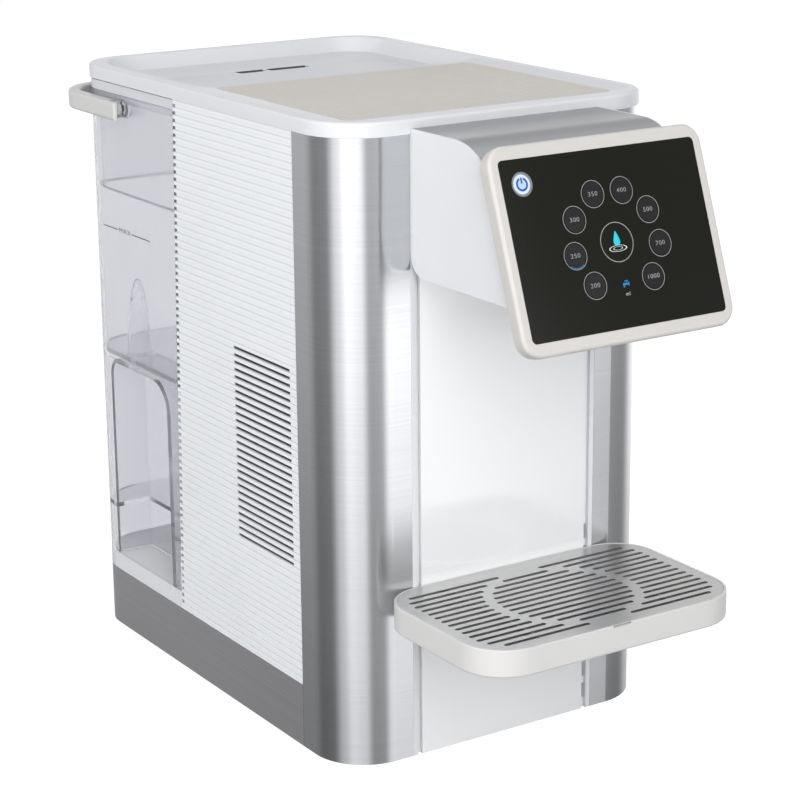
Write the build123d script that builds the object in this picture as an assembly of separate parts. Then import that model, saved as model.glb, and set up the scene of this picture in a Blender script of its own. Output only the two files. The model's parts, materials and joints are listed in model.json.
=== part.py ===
# Countertop water dispenser: body with a pull-out tank, tilted touch display,
# height-adjustable drip tray and a small chiller and heater inside.
# Millimetres. +Z up, front faces -Y, origin on the table under the middle of the whole object.
import os
from math import atan2, cos, sin, radians
from build123d import *

os.makedirs("parts", exist_ok=True)

# ---- overall sizes ----
BODY_W = 235.4          # width over the side panels
BODY_D = 341.4          # front panel to the back of the tank
BODY_CY = 52.0          # middle of the body; puts the display and the handle equally far out
BODY_TOP = 391.0        # underside of the top slab
SLAB_T = 9.0
SLAB_OVER = 0.8         # slab overhang past the body
FOOT_H = 1.0            # gap under the shell
R_FRONT = 36.1          # corner radius of the steel columns
R_REAR = 32.8           # corner radius of the tank side
SKIN = 1.2              # steel sheet
SEAM = 0.2              # gap between neighbouring skins
RUN = 0.05              # radial running clearance
RIB_PITCH = 4.77

COL_FRONT_W = 49.2      # a column's width seen from the front
COL_SIDE_W = 50.6       # and from the side
PLINTH_TOP = 42.5
SILL_H = 12.0
TANK_DEEP = 142.7       # tank bay's depth at its top
EDGE_LEAN = 11.6        # how far the bay's front edge leans back down to the sill
BIG = 900.0             # reach of a cutting block

HX = BODY_W / 2
FRONT = BODY_CY - BODY_D / 2
REAR = BODY_CY + BODY_D / 2
COL_X = HX - COL_FRONT_W
COL_Y = FRONT + COL_SIDE_W
SILL_TOP = PLINTH_TOP + SILL_H
TANK_EDGE_TOP = REAR - TANK_DEEP
TANK_EDGE_LOW = TANK_EDGE_TOP + EDGE_LEAN

# ---- drip tray ----
TRAY_HX = COL_X + 26.5
TRAY_FRONT = FRONT - 119.35
TRAY_R = 30.0
TRAY_LOW = 95.5
TRAY_TOP = 112.7
RING_Y = FRONT - 61.3   # centre of the grille's ring, under the spout
SLOT_PITCH = 7.08
SLOT_W = 3.2
CH_EDGE = 3.2           # strip between the tray's channel and the column
CH_W = 3.3
CH_OUT = COL_X - CH_EDGE
CH_IN = CH_OUT - CH_W
CH_DEPTH = 2.8

# ---- head and display ----
TILT = 19.93
GLASS_W, GLASS_H = 137.8, 102.4
DISP_W, DISP_H = GLASS_W + 12.6, GLASS_H + 16.3
DISP_Y, DISP_Z = FRONT - 105.1, BODY_TOP - 51.1
BEZEL_T = 5.0
DISP_T = 11.0
HEAD_TOP = BODY_TOP + 3.2
HEAD_LOW = BODY_TOP - 83.5
BTN_X, BTN_V = -GLASS_W / 2 + 13.5, GLASS_H / 2 - 14.3
BTN_R = 5.65
BTN_RING_R = BTN_R + 1.25

# ---- tank ----
TANK_HX = HX - SEAM
TANK_TOP = BODY_TOP - 7.2
TANK_WALL = 2.6
TANK_GAP = 0.5
FLOOR_HI = 203.5        # top of the raw-water floor
FLOOR_LO = SILL_TOP + 36.5   # top of the filtered-water floor
FLOOR_T = 3.0
LID_TOP = BODY_TOP - 0.8
PIVOT_Y, PIVOT_Z = REAR - 67.0, BODY_TOP - 16.0
HANDLE_IN = HX + 1.5
HANDLE_T = 8.5
HANDLE_H = 12.0
HANDLE_GAP = 12.2       # room for the fingers behind the tank
HANDLE_REAR = REAR + HANDLE_GAP + HANDLE_T
VALVE_X, VALVE_Z = 45.0, FLOOR_LO + 13.0


def box(x0, x1, y0, y1, z0, z1):
    return Pos((x0 + x1) / 2, (y0 + y1) / 2, (z0 + z1) / 2) * Box(x1 - x0, y1 - y0, z1 - z0)


def cyl(r, p, q):
    """Cylinder of radius r from point p to point q along one axis."""
    a, b = Vector(*p), Vector(*q)
    d = b - a
    return Plane(origin=a, z_dir=d).location * Cylinder(r, d.length, align=(Align.CENTER, Align.CENTER, Align.MIN))


def plan(hx, y0, y1, rf, rr, z0, z1):
    """Upright block with its own front and rear corner radii."""
    sk = Pos(0, (y0 + y1) / 2) * Rectangle(2 * hx, y1 - y0)
    mid = (y0 + y1) / 2
    if rf > 0:
        sk = fillet([v for v in sk.vertices() if v.Y < mid], rf)
    if rr > 0:
        sk = fillet([v for v in sk.vertices() if v.Y > mid], rr)
    return Pos(0, 0, z0) * extrude(sk, z1 - z0)


def along_y(pts, y0, y1):
    """Extrude an (x, z) outline from y0 to y1."""
    face = make_face(Plane.XZ * Polyline(*pts, close=True))
    return Pos(0, y1, 0) * extrude(face, y1 - y0, dir=(0, -1, 0))


def along_x(pts, x0, x1):
    """Extrude a (y, z) outline from x0 to x1."""
    face = make_face(Plane.YZ * Polyline(*pts, close=True))
    return Pos(x0, 0, 0) * extrude(face, x1 - x0, dir=(1, 0, 0))


def mirrored(shape):
    return mirror(shape, about=Plane.YZ)


def both(shape):
    return [shape, mirrored(shape)]


def solids_of(items):
    out = []
    for s in items:
        out += list(s.solids())
    return Compound(children=out) if len(out) > 1 else out[0]


def edge_y(z, off=0.0):
    """Front boundary of the tank bay at height z."""
    k = (TANK_EDGE_LOW - TANK_EDGE_TOP) / (BODY_TOP - SILL_TOP)
    return TANK_EDGE_TOP + k * (BODY_TOP - z) + off


def behind(off, z0=0.0, z1=BODY_TOP + SLAB_T, hx=HX + 20):
    """Everything behind the sloping tank boundary."""
    return along_x([(edge_y(z0, off), z0), (REAR + 40, z0), (REAR + 40, z1), (edge_y(z1, off), z1)], -hx, hx)


def tube(points, r, bend=9.0):
    path = FilletPolyline(*points, radius=bend) if len(points) > 2 else Line(*points)
    start = path.position_at(0)
    return sweep(Plane(origin=start, z_dir=path.tangent_at(0)) * Circle(r), path=path)


def shell_ring(t_out, t_in, z0, z1):
    """Upright skin between two insets of the body outline."""
    a = plan(HX - t_out, FRONT + t_out, REAR - t_out, R_FRONT - t_out, R_REAR - t_out, z0, z1)
    b = plan(HX - t_in, FRONT + t_in, REAR - t_in, R_FRONT - t_in, R_REAR - t_in, z0 - 1, z1 + 1)
    return a - b


parts = {}

# ---- base pan, feet, plinth and steel columns ----
PAN_IN = SKIN + 0.2
PAN_WALL = 2.4
PAN_FLOOR = 4.0
pan = plan(HX - PAN_IN, FRONT + PAN_IN, REAR - PAN_IN, R_FRONT - PAN_IN, R_REAR - PAN_IN,
           FOOT_H + 0.2, PLINTH_TOP - 1)
pan_t = PAN_IN + PAN_WALL
pan -= plan(HX - pan_t, FRONT + pan_t, REAR - pan_t, R_FRONT - pan_t, R_REAR - pan_t, PAN_FLOOR, BIG)
foot_xy = [(sx * (HX - 29.7), y) for sx in (-1, 1) for y in (FRONT + 30, REAR - 30)]
INLET_X, INLET_Z, INLET_W, INLET_H = HX - 55.7, 22.0, 27.4, 20.0
inlet_hole = box(INLET_X - INLET_W / 2, INLET_X + INLET_W / 2, REAR - 8, REAR + 5,
                 INLET_Z - INLET_H / 2, INLET_Z + INLET_H / 2)
pan -= inlet_hole
for y in (FRONT + 58.7, BODY_CY - 32.0, BODY_CY + 48.0):
    pan += box(-HX + 13.7, HX - 13.7, y - 1, y + 1, PAN_FLOOR - 0.5, PAN_FLOOR + 3.0)
foot_r = 10.0
feet = []
for x, y in foot_xy:
    pan -= cyl(foot_r + 0.1, (x, y, 0), (x, y, 2.6))
    feet.append(fillet(cyl(foot_r, (x, y, 0), (x, y, 2.6)).edges().group_by(Axis.Z)[0], 0.5))
screw_xy = [(sx * (HX - 57.7), y) for sx in (-1, 1) for y in (FRONT + 24, BODY_CY, REAR - 24)]
screws = []
for x, y in screw_xy:
    pan += cyl(5.0, (x, y, PAN_FLOOR - 0.5), (x, y, PAN_FLOOR + 5.0))
    pan -= cyl(1.5, (x, y, 0), (x, y, PAN_FLOOR + 4.0))
    pan -= cyl(3.3, (x, y, 0), (x, y, 2.6))
    s = cyl(3.0, (x, y, 1.4), (x, y, 2.6)) + cyl(1.45, (x, y, 2.5), (x, y, 7.5))
    s -= box(x - 2, x + 2, y - 0.35, y + 0.35, 1.0, 1.9)
    screws.append(s)
pan -= box(-COL_X - 7.5, COL_X + 7.5, FRONT - 1, FRONT + 4.6, 0, BIG)
pan += box(-COL_X - 7.5, COL_X + 7.5, FRONT + 4.6, FRONT + 4.6 + PAN_WALL, FOOT_H + 0.2, PLINTH_TOP - 1)
parts["base_pan"] = pan
parts["rubber_feet"] = solids_of(feet)
parts["base_screws"] = solids_of(screws)

band = shell_ring(0, SKIN, FOOT_H, PLINTH_TOP) & box(-BIG, BIG, COL_Y + SEAM, BIG, 0, BIG)
parts["plinth_band"] = band - inlet_hole
column = shell_ring(0, SKIN, FOOT_H, BODY_TOP - SEAM) & box(-BIG, -COL_X, -BIG, COL_Y, 0, BIG)
column += box(-COL_X - 6.0, -COL_X, FRONT + SKIN - 0.1, FRONT + SKIN + 0.8, FOOT_H, BODY_TOP - SEAM)
parts["column_left"] = column
parts["column_right"] = mirrored(column)

# ---- ribbed side panels with the air slots ----
PANEL_T = 2.6
x_out, x_in = -HX, -HX + PANEL_T
z_lo, z_hi = PLINTH_TOP + SEAM, BODY_TOP - SEAM
GROOVE_T, GROOVE_W = 0.6, 2.1       # depth, and width at the bottom
NOTCH_D = 2.4                       # each groove ends in a notch at the tank's side
groove_z = [z_lo + 5.4]
while groove_z[-1] + RIB_PITCH < z_hi - 2.0:
    groove_z.append(groove_z[-1] + RIB_PITCH)
outline = [(x_in, z_lo), (x_out, z_lo)]
for z in groove_z:
    outline += [(x_out, z - GROOVE_W / 2 - 0.2), (x_out + GROOVE_T, z - GROOVE_W / 2),
                (x_out + GROOVE_T, z + GROOVE_W / 2), (x_out, z + GROOVE_W / 2 + 0.2)]
outline += [(x_out, z_hi), (x_in, z_hi)]
panel = along_y(outline, COL_Y + SEAM, TANK_EDGE_LOW + 8.4)
panel -= behind(0, PLINTH_TOP - 10)
VENT_Y0, VENT_Y1 = COL_Y + 9.0, COL_Y + 78.3
VENT_FIRST, VENT_N, VENT_H = 15, 27, 1.7
cuts = []
for z in groove_z:
    y0, y1 = edge_y(z) - NOTCH_D, edge_y(z) + 4
    cuts.append(box(x_out - 1, x_in + 1, y0, y1, z - GROOVE_W / 2, z + GROOVE_W / 2))
for z in groove_z[VENT_FIRST:VENT_FIRST + VENT_N]:
    cuts.append(box(x_out - 1, x_in + 1, VENT_Y0, VENT_Y1, z - VENT_H / 2, z + VENT_H / 2))
panel -= Compound(children=cuts)
panel += box(x_in - 0.1, x_in + 5.0, COL_Y + SEAM, COL_Y + 2.6, z_lo, z_hi)
panel += box(x_in - 0.1, x_in + 4.0, TANK_EDGE_TOP - 20, TANK_EDGE_TOP - 18, z_lo, z_hi - 8)
parts["side_panel_left"] = panel
parts["side_panel_right"] = mirrored(panel)

# ---- tank bay: sill, deck, bulkhead and water probe ----
sill = shell_ring(0, 2.6, PLINTH_TOP + SEAM, SILL_TOP - 0.1) & behind(SEAM, 0, SILL_TOP + 5)
parts["tank_sill"] = sill
deck = plan(HX - 2.8, FRONT + 10, REAR - 2.8, 5, R_REAR - 2.8, SILL_TOP - 3.2, SILL_TOP - 0.2)
deck &= behind(0.4, 0, SILL_TOP + 5)
RAIL_IN = 47.7
for sx in (-1, 1):
    x = sx * (HX - RAIL_IN)
    deck += box(x - 1.5, x + 1.5, TANK_EDGE_LOW + 8.4, REAR - 17.7, PLINTH_TOP, SILL_TOP - 3)
deck += box(-HX + 12.7, HX - 12.7, REAR - 17.7, REAR - 15.7, PLINTH_TOP - 0.9, SILL_TOP - 3)
parts["tank_dock"] = deck
BULK_T = 2.4
BULK_GAP = 1.6
b_lo, b_hi = PLINTH_TOP + 0.5, BODY_TOP - 5.0
bulk = along_x([(edge_y(b_lo, -BULK_T - BULK_GAP), b_lo), (edge_y(b_lo, -BULK_GAP), b_lo),
                (edge_y(b_hi, -BULK_GAP), b_hi), (edge_y(b_hi, -BULK_T - BULK_GAP), b_hi)], -HX + 5.2, HX - 5.2)
bulk -= cyl(7.0, (VALVE_X, TANK_EDGE_TOP - 20, VALVE_Z), (VALVE_X, TANK_EDGE_TOP + 30, VALVE_Z))
parts["bulkhead"] = bulk
probe_y = edge_y(VALVE_Z, -BULK_GAP)
PROBE_BORE = 2.95
probe = cyl(6.9, (VALVE_X, probe_y - 14, VALVE_Z), (VALVE_X, probe_y + 0.4, VALVE_Z))
probe += cyl(10.0, (VALVE_X, probe_y - 5.4, VALVE_Z), (VALVE_X, probe_y - BULK_T - 0.4, VALVE_Z))
probe += cyl(4.4, (VALVE_X, probe_y, VALVE_Z), (VALVE_X, probe_y + 13.5, VALVE_Z))
probe -= cyl(PROBE_BORE, (VALVE_X, probe_y - 15, VALVE_Z), (VALVE_X, probe_y + 15, VALVE_Z))
probe -= box(VALVE_X - 6, VALVE_X + 6, probe_y + 8.0, probe_y + 11.0, VALVE_Z - 1.2, VALVE_Z + 1.2)
parts["dock_probe"] = probe
ring = cyl(5.3, (VALVE_X, probe_y + 4.6, VALVE_Z), (VALVE_X, probe_y + 6.4, VALVE_Z))
parts["probe_seal"] = ring - cyl(4.45, (VALVE_X, probe_y, VALVE_Z), (VALVE_X, probe_y + 9, VALVE_Z))

# ---- top slab with the rear recess and the seat for the ribbed mat ----
slab = plan(HX + SLAB_OVER, FRONT - SLAB_OVER, REAR + SLAB_OVER, R_FRONT + SLAB_OVER, R_REAR + SLAB_OVER,
            BODY_TOP, BODY_TOP + SLAB_T)
slab = fillet(slab.edges().group_by(Axis.Z)[-1], 1.8)
REC_Y0, REC_Y1, REC_HX = TANK_EDGE_TOP - 16.0, REAR - 16.7, HX - 16.7
slab += plan(REC_HX + 3.0, REC_Y0 - 3, REC_Y1 + 3.0, 10, 26, BODY_TOP - 3.0, BODY_TOP + 1)
low = Pos(0, (REC_Y0 + REC_Y1) / 2, BODY_TOP) * Rectangle(2 * REC_HX, REC_Y1 - REC_Y0)
rec_mid = (REC_Y0 + REC_Y1) / 2
low = fillet([v for v in low.vertices() if v.Y > rec_mid], 24)
low = fillet([v for v in low.vertices() if v.Y < rec_mid], 8)
high = Pos(0, rec_mid + 3.5, BODY_TOP + SLAB_T + 0.01) * Rectangle(2 * REC_HX + 16, REC_Y1 - REC_Y0 + 9)
high = fillet([v for v in high.vertices() if v.Y > rec_mid], 30)
high = fillet([v for v in high.vertices() if v.Y < rec_mid], 10)
slab -= loft([low.face(), high.face()])
FLAP_D = 92.0
FLAP_HX, FLAP_Y0 = REC_HX - 13.0, REC_Y0 + 4.0
FLAP_Y1 = FLAP_Y0 + FLAP_D
FLAP_HOLE_Y = FLAP_Y0 - 3.0       # leaves room for the flap's front edge as it turns
slab -= plan(FLAP_HX + 0.4, FLAP_HOLE_Y, FLAP_Y1 + 0.4, 0.6, 6, BODY_TOP - 5, BODY_TOP + 2)
MAT_HX, MAT_Y0, MAT_Y1 = HX - 20.2, FRONT + 21.5, REC_Y0 - 2.0
MAT_TOP = BODY_TOP + 7.4
slab -= plan(MAT_HX, MAT_Y0, MAT_Y1, 6, 6, BODY_TOP + 5.0, BODY_TOP + 12)
DISH_X, DISH_Y = 13.0, 9.0      # the slab's top slopes down to the mat over these widths
mat_mid = (MAT_Y0 + MAT_Y1) / 2
low = Pos(0, mat_mid, MAT_TOP - 0.1) * Rectangle(2 * MAT_HX, MAT_Y1 - MAT_Y0)
low = fillet(low.vertices(), 6)
high = Pos(0, mat_mid, BODY_TOP + SLAB_T + 0.01) * Rectangle(2 * (MAT_HX + DISH_X), MAT_Y1 - MAT_Y0 + 2 * DISH_Y)
high = fillet(high.vertices(), 12)
slab -= loft([low.face(), high.face()])
POCK_Y0, POCK_Y1, POCK_TOP = FRONT + 7.7, REC_Y0 - 6.0, BODY_TOP + 3.4
slab -= plan(HX - 6.7, POCK_Y0, POCK_Y1, R_FRONT - 8.1, 6, BODY_TOP - 1, POCK_TOP)
for x in (-HX / 2, 0.0, HX / 2):
    slab += box(x - 0.9, x + 0.9, POCK_Y0 - 0.5, POCK_Y1 + 0.5, BODY_TOP + 0.4, POCK_TOP + 0.5)
HINGE_Y, HINGE_Z = FLAP_Y0 + 1.8, BODY_TOP - 4.1
PIN_R = 1.2
EAR_X = FLAP_HX - 37.5
EAR_R = 2.4
for x0, x1 in ((EAR_X, EAR_X + 5.5), (EAR_X + 28.1, EAR_X + 33.7)):
    ear = box(x0, x1, REC_Y0 - 1.0, HINGE_Y, HINGE_Z - EAR_R, BODY_TOP - 1.0)
    ear += cyl(EAR_R, (x0, HINGE_Y, HINGE_Z), (x1, HINGE_Y, HINGE_Z))
    ear -= box(x0 - 1, x1 + 1, FLAP_HOLE_Y, FLAP_HOLE_Y + 15, BODY_TOP - 3.2, BIG)
    ear -= cyl(PIN_R, (x0 - 1, HINGE_Y, HINGE_Z), (x1 + 1, HINGE_Y, HINGE_Z))
    for e in both(ear):
        slab += e
parts["top_slab"] = slab

mat = plan(MAT_HX - 0.2, MAT_Y0 + 0.2, MAT_Y1 - 0.2, 5.8, 5.8, BODY_TOP + 5.1, MAT_TOP)
rib_field = plan(MAT_HX - 5.5, MAT_Y0 + 5.5, MAT_Y1 - 5.5, 9, 3, MAT_TOP - 0.7, MAT_TOP + 1)
grooves = []
y = MAT_Y0 + 7.0
while y < MAT_Y1 - 5.5:
    grooves.append(box(-HX, HX, y - 0.6, y + 0.6, MAT_TOP - 0.8, MAT_TOP + 1))
    y += RIB_PITCH
mat -= Compound(children=grooves) & rib_field
parts["top_mat"] = mat

# ---- refill flap ----
FLAP_T = 2.6
flap = plan(FLAP_HX, FLAP_Y0, FLAP_Y1, 2, 5.5, BODY_TOP - FLAP_T, BODY_TOP)
for x0, x1 in ((-28.0, -6.0), (-4.0, 28.0)):
    window = plan((x1 - x0) / 2, FLAP_Y1 - 9.0, FLAP_Y1 + 5, 2, 0, BODY_TOP - 5, BODY_TOP + 3)
    flap -= Pos((x0 + x1) / 2, 0, 0) * window
KN_X0, KN_X1 = EAR_X + 6.5, EAR_X + 27.1
knuckle = cyl(EAR_R, (KN_X0, HINGE_Y, HINGE_Z), (KN_X1, HINGE_Y, HINGE_Z))
knuckle += box(KN_X0, KN_X1, HINGE_Y - 1.6, HINGE_Y + 4.0, HINGE_Z, BODY_TOP - FLAP_T + 0.2)
knuckle -= cyl(PIN_R + RUN, (KN_X0 - 1, HINGE_Y, HINGE_Z), (KN_X1 + 1, HINGE_Y, HINGE_Z))
for k in both(knuckle):
    flap += k
flap += box(-FLAP_HX + 18, FLAP_HX - 18, FLAP_Y0 + 42, FLAP_Y0 + 43.6,
            BODY_TOP - FLAP_T - 0.9, BODY_TOP - FLAP_T + 0.2)
for x0, x1 in ((EAR_X, EAR_X + 5.5), (EAR_X + 28.1, EAR_X + 33.7)):
    notch = box(x0 - 0.5, x1 + 0.5, FLAP_Y0 - 1, HINGE_Y + EAR_R + 0.6, BODY_TOP - FLAP_T - 1, BODY_TOP + 1)
    flap = flap - notch - mirrored(notch)
parts["refill_flap"] = flap
parts["flap_pins"] = solids_of(both(cyl(PIN_R, (EAR_X + 0.3, HINGE_Y, HINGE_Z), (EAR_X + 33.5, HINGE_Y, HINGE_Z))))

# ---- tank ----
def tank_block(inset, z0, z1):
    b = plan(TANK_HX - inset, TANK_EDGE_TOP - 20, REAR - SEAM - inset, 0, R_REAR - SEAM - inset, z0, z1)
    return b & behind(TANK_GAP + inset, 0)


def arch(grow, depth):
    """Arched pocket in the left side of the tank, open at the bottom."""
    y0, y1, zt = REAR - 118.7 - grow, REAR - 36.7 + grow, FLOOR_HI - 7.5 + grow
    r0, r1 = 20.0 + grow, 10.0 + grow
    z_low, mid = SILL_TOP - 14.5, REAR - 72.7
    sk = Plane.YZ * Polyline((y0, z_low), (y1, z_low), (y1, zt), (y0, zt), close=True)
    face = make_face(sk)
    top = [v for v in face.vertices() if v.Z > zt - 0.1]
    face = fillet([v for v in top if v.Y < mid], r0)
    face = fillet([v for v in face.vertices() if v.Z > zt - 0.1 and v.Y > mid], r1)
    return Pos(-HX - 12.3, 0, 0) * extrude(face, HX + 12.3 - TANK_HX + depth, dir=(1, 0, 0))


POCKET = 26.0
tank = tank_block(0, SILL_TOP + 0.3, TANK_TOP)
wall_l = arch(TANK_WALL, POCKET + TANK_WALL)
walls = wall_l + mirrored(wall_l)
tank -= tank_block(TANK_WALL, FLOOR_LO, BODY_TOP + 4) - walls
FLOOR_Z = FLOOR_HI - FLOOR_T
tank += tank_block(TANK_WALL - 0.1, FLOOR_Z - 3.1, FLOOR_Z - 0.1) - tank_block(TANK_WALL + 2.0, FLOOR_LO, FLOOR_HI)
tank -= tank_block(TANK_WALL, SILL_TOP - 14.5, FLOOR_LO - FLOOR_T) - walls
hollow = arch(0, POCKET)
tank -= hollow + mirrored(hollow)
CART_Y = REAR - 72.7
CONE_X, CONE_Y = -HX + 12.4, REAR - 60.7
divider = tank_block(TANK_WALL + 0.15, FLOOR_Z, FLOOR_HI)
divider -= cyl(31.0, (0, CART_Y, FLOOR_HI - 5), (0, CART_Y, FLOOR_HI + 2))
divider -= cyl(4.0, (CONE_X, CONE_Y, FLOOR_HI - 5), (CONE_X, CONE_Y, FLOOR_HI + 2))
parts["tank_divider"] = divider
valve_y = edge_y(VALVE_Z, TANK_GAP)
tank += cyl(9.0, (VALVE_X, valve_y + 1.0, VALVE_Z), (VALVE_X, valve_y + 11.4, VALVE_Z))
tank -= cyl(5.4, (VALVE_X, valve_y - 3, VALVE_Z), (VALVE_X, valve_y + 12, VALVE_Z))
for px in (-TANK_HX, TANK_HX):
    sgn = 1 if px > 0 else -1
    tank += cyl(6.0, (px - sgn * 4.5, PIVOT_Y, PIVOT_Z), (px - sgn * 1.0, PIVOT_Y, PIVOT_Z))
    tank -= cyl(2.5, (px - sgn * 6, PIVOT_Y, PIVOT_Z), (px + sgn * 3, PIVOT_Y, PIVOT_Z))
parts["tank_shell"] = tank

lid = tank_block(0, TANK_TOP + 0.2, LID_TOP)
lid -= plan(REC_HX + 6.6, REC_Y0 - 44, REC_Y1 + 4.6, 0, 27, TANK_TOP + 2.8, BIG)
lid -= plan(FLAP_HX - 13, FLAP_Y0 + 26, FLAP_Y1 - 6, 10, 10, TANK_TOP - 14, BIG)
skirt = tank_block(TANK_WALL + 0.25, TANK_TOP - 5.5, TANK_TOP + 0.4)
lid += skirt - tank_block(TANK_WALL + 1.9, TANK_TOP - 14, BODY_TOP + 4)
for px in (-TANK_HX, TANK_HX):
    lid -= cyl(6.4, (px - 7, PIVOT_Y, PIVOT_Z), (px + 7, PIVOT_Y, PIVOT_Z))
parts["tank_lid"] = lid
COLLAR_LOW = BODY_TOP - 76.0
collar = tank_block(TANK_WALL + 3.4, COLLAR_LOW, TANK_TOP)
collar -= tank_block(TANK_WALL + 4.8, COLLAR_LOW - 15, BODY_TOP + 4)
for px in (-TANK_HX, TANK_HX):
    collar -= cyl(6.8, (px - 9, PIVOT_Y, PIVOT_Z), (px + 9, PIVOT_Y, PIVOT_Z))
parts["tank_collar"] = collar

cart = cyl(30.6, (0, CART_Y, FLOOR_HI - 92), (0, CART_Y, FLOOR_HI + 0.2))
cart = fillet(cart.edges().group_by(Axis.Z)[0], 6)
flange = cyl(36.0, (0, CART_Y, FLOOR_HI + 0.1), (0, CART_Y, FLOOR_HI + 3.4))
dome = cyl(28.0, (0, CART_Y, FLOOR_HI + 3.0), (0, CART_Y, FLOOR_HI + 16.0))
dome = fillet(dome.edges().group_by(Axis.Z)[-1], 5)
cart += flange + dome
for k in range(8):
    slot = Pos(0, CART_Y, FLOOR_HI + 8.0) * Rot(0, 0, 45 * k + 22.5) * Pos(26, 0, 0) * Box(8, 4, 4.5)
    cart -= slot
parts["filter_cartridge"] = cart
CONE_H = 53.0
spike = [(0, 0), (8.4, 0), (7.6, 17), (6.2, 33), (4.4, 44), (2.6, 50.5), (1.3, CONE_H), (0, CONE_H)]
hollow = [(0, -1), (7.2, -1), (6.4, 16), (5.0, 32), (3.2, 43), (1.3, 49.5), (0, 50.5)]
cone = revolve(make_face(Plane.XZ * Polyline(*spike, close=True)), Axis.Z)
cone -= revolve(make_face(Plane.XZ * Polyline(*hollow, close=True)), Axis.Z)
cone += cyl(9.0, (0, 0, 0), (0, 0, 2.4)) - cyl(7.2, (0, 0, -1), (0, 0, 3))
cone -= cyl(1.0, (-12, 0, 40), (12, 0, 40))
cone = Pos(CONE_X, CONE_Y, FLOOR_HI + 0.1) * cone
parts["overflow_cone"] = cone & tank_block(TANK_WALL + 0.3, FLOOR_HI - 3.5, FLOOR_HI + 96)

plug = cyl(8.6, (VALVE_X, valve_y + 14.5, VALVE_Z), (VALVE_X, valve_y + 17.0, VALVE_Z))
plug += cyl(2.0, (VALVE_X, valve_y + 12.5, VALVE_Z), (VALVE_X, valve_y + 14.7, VALVE_Z))
plug += cyl(4.0, (VALVE_X, valve_y + 11.5, VALVE_Z), (VALVE_X, valve_y + 12.7, VALVE_Z))
plug += cyl(2.0, (VALVE_X, valve_y + 17.0, VALVE_Z), (VALVE_X, valve_y + 26.0, VALVE_Z))
parts["outlet_valve"] = plug
cage = cyl(8.9, (VALVE_X, valve_y + 11.5, VALVE_Z), (VALVE_X, valve_y + 27.5, VALVE_Z))
cage = cyl(11.0, (VALVE_X, valve_y + 11.5, VALVE_Z), (VALVE_X, valve_y + 29.0, VALVE_Z)) - cage
cage -= cyl(2.0 + RUN, (VALVE_X, valve_y + 20, VALVE_Z), (VALVE_X, valve_y + 30, VALVE_Z))
cage -= cyl(5.4, (VALVE_X, valve_y + 10, VALVE_Z), (VALVE_X, valve_y + 14, VALVE_Z))
cage -= box(VALVE_X - 12, VALVE_X + 12, valve_y + 13, valve_y + 25, VALVE_Z - 4, VALVE_Z + 4)
parts["valve_cage"] = cage

# ---- tank handle ----
HUB_R = 6.2
ARM_Y = PIVOT_Y - 11.5
ARM_END_T = 2.4         # the arm's end is a plate outside the hub


def bow(inset, z0, z1):
    b = plan(HANDLE_IN + HANDLE_T - inset, ARM_Y - 80, HANDLE_REAR - inset, 0, 40.0 - inset, z0, z1)
    return b


hz0, hz1 = PIVOT_Z - HANDLE_H / 2, PIVOT_Z + HANDLE_H / 2
handle = bow(0, hz0, hz1) - bow(HANDLE_T, hz0 - 1, hz1 + 1)
handle = fillet(handle.edges().group_by(Axis.Z)[0] + handle.edges().group_by(Axis.Z)[-1], 1.8)
handle &= plan(HANDLE_IN + HANDLE_T, ARM_Y, HANDLE_REAR + 1, 1.5, 0, 0, BIG)
for sgn in (-1, 1):
    xa, xb = sorted((sgn * (HANDLE_IN - 1), sgn * (HANDLE_IN + HANDLE_T - ARM_END_T)))
    handle -= cyl(HUB_R + 0.1, (xa, PIVOT_Y, PIVOT_Z), (xb, PIVOT_Y, PIVOT_Z))
    handle -= box(xa, xb, ARM_Y - 10, PIVOT_Y, PIVOT_Z - 15, PIVOT_Z + 15)
parts["tank_handle"] = handle
hubs, pins = [], []
for sgn in (-1, 1):
    a, b = sgn * HANDLE_IN, sgn * (HANDLE_IN + HANDLE_T - ARM_END_T)
    hub = cyl(HUB_R, (a, PIVOT_Y, PIVOT_Z), (b, PIVOT_Y, PIVOT_Z))
    hub -= cyl(2.5 + RUN, (a - sgn, PIVOT_Y, PIVOT_Z), (b - sgn * 1.4, PIVOT_Y, PIVOT_Z))
    hubs.append(hub)
    pins.append(cyl(2.5, (sgn * (TANK_HX - 4.5), PIVOT_Y, PIVOT_Z), (b - sgn * 1.6, PIVOT_Y, PIVOT_Z)))
parts["handle_hubs"] = solids_of(hubs)
parts["handle_pins"] = solids_of(pins)

# ---- front panel and the two tray channels ----
panel = box(-CH_IN + 0.1, CH_IN - 0.1, FRONT, FRONT + 2.4, FOOT_H, BODY_TOP - SEAM)
panel -= box(-CH_IN + 10, CH_IN - 10, FRONT - 1, FRONT + 4, HEAD_LOW + 10.5, BODY_TOP - 7)
RAIL_X, RAIL_D = CH_IN - 7.6, 10.0
rail = box(RAIL_X, RAIL_X + 1.6, FRONT + 2.3, FRONT + RAIL_D, BODY_TOP - 251, BODY_TOP - 101)
panel = panel + rail + mirrored(rail)
parts["front_panel"] = panel
STOPS = (12.5, 27.0, 107.0, 121.8)
chan = [(-COL_X + 0.1, FRONT), (-CH_OUT, FRONT), (-CH_OUT, FRONT + CH_DEPTH), (-CH_IN + 3.0, FRONT + CH_DEPTH),
        (-CH_IN + 3.0, FRONT + CH_DEPTH + 1.5), (-COL_X + 0.1, FRONT + CH_DEPTH + 1.5)]
channel = Pos(0, 0, FOOT_H) * extrude(make_face(Polyline(*chan, close=True)), BODY_TOP - SEAM - FOOT_H)
if channel.bounding_box().min.Z < 0:
    channel = Pos(0, 0, BODY_TOP - SEAM) * channel
for zc in STOPS:
    channel -= box(-CH_OUT + 0.1, -CH_OUT + 1.8, FRONT + 2, FRONT + 6, zc - 5.0, zc + 5.0)
parts["channel_left"] = channel
parts["channel_right"] = mirrored(channel)

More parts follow.
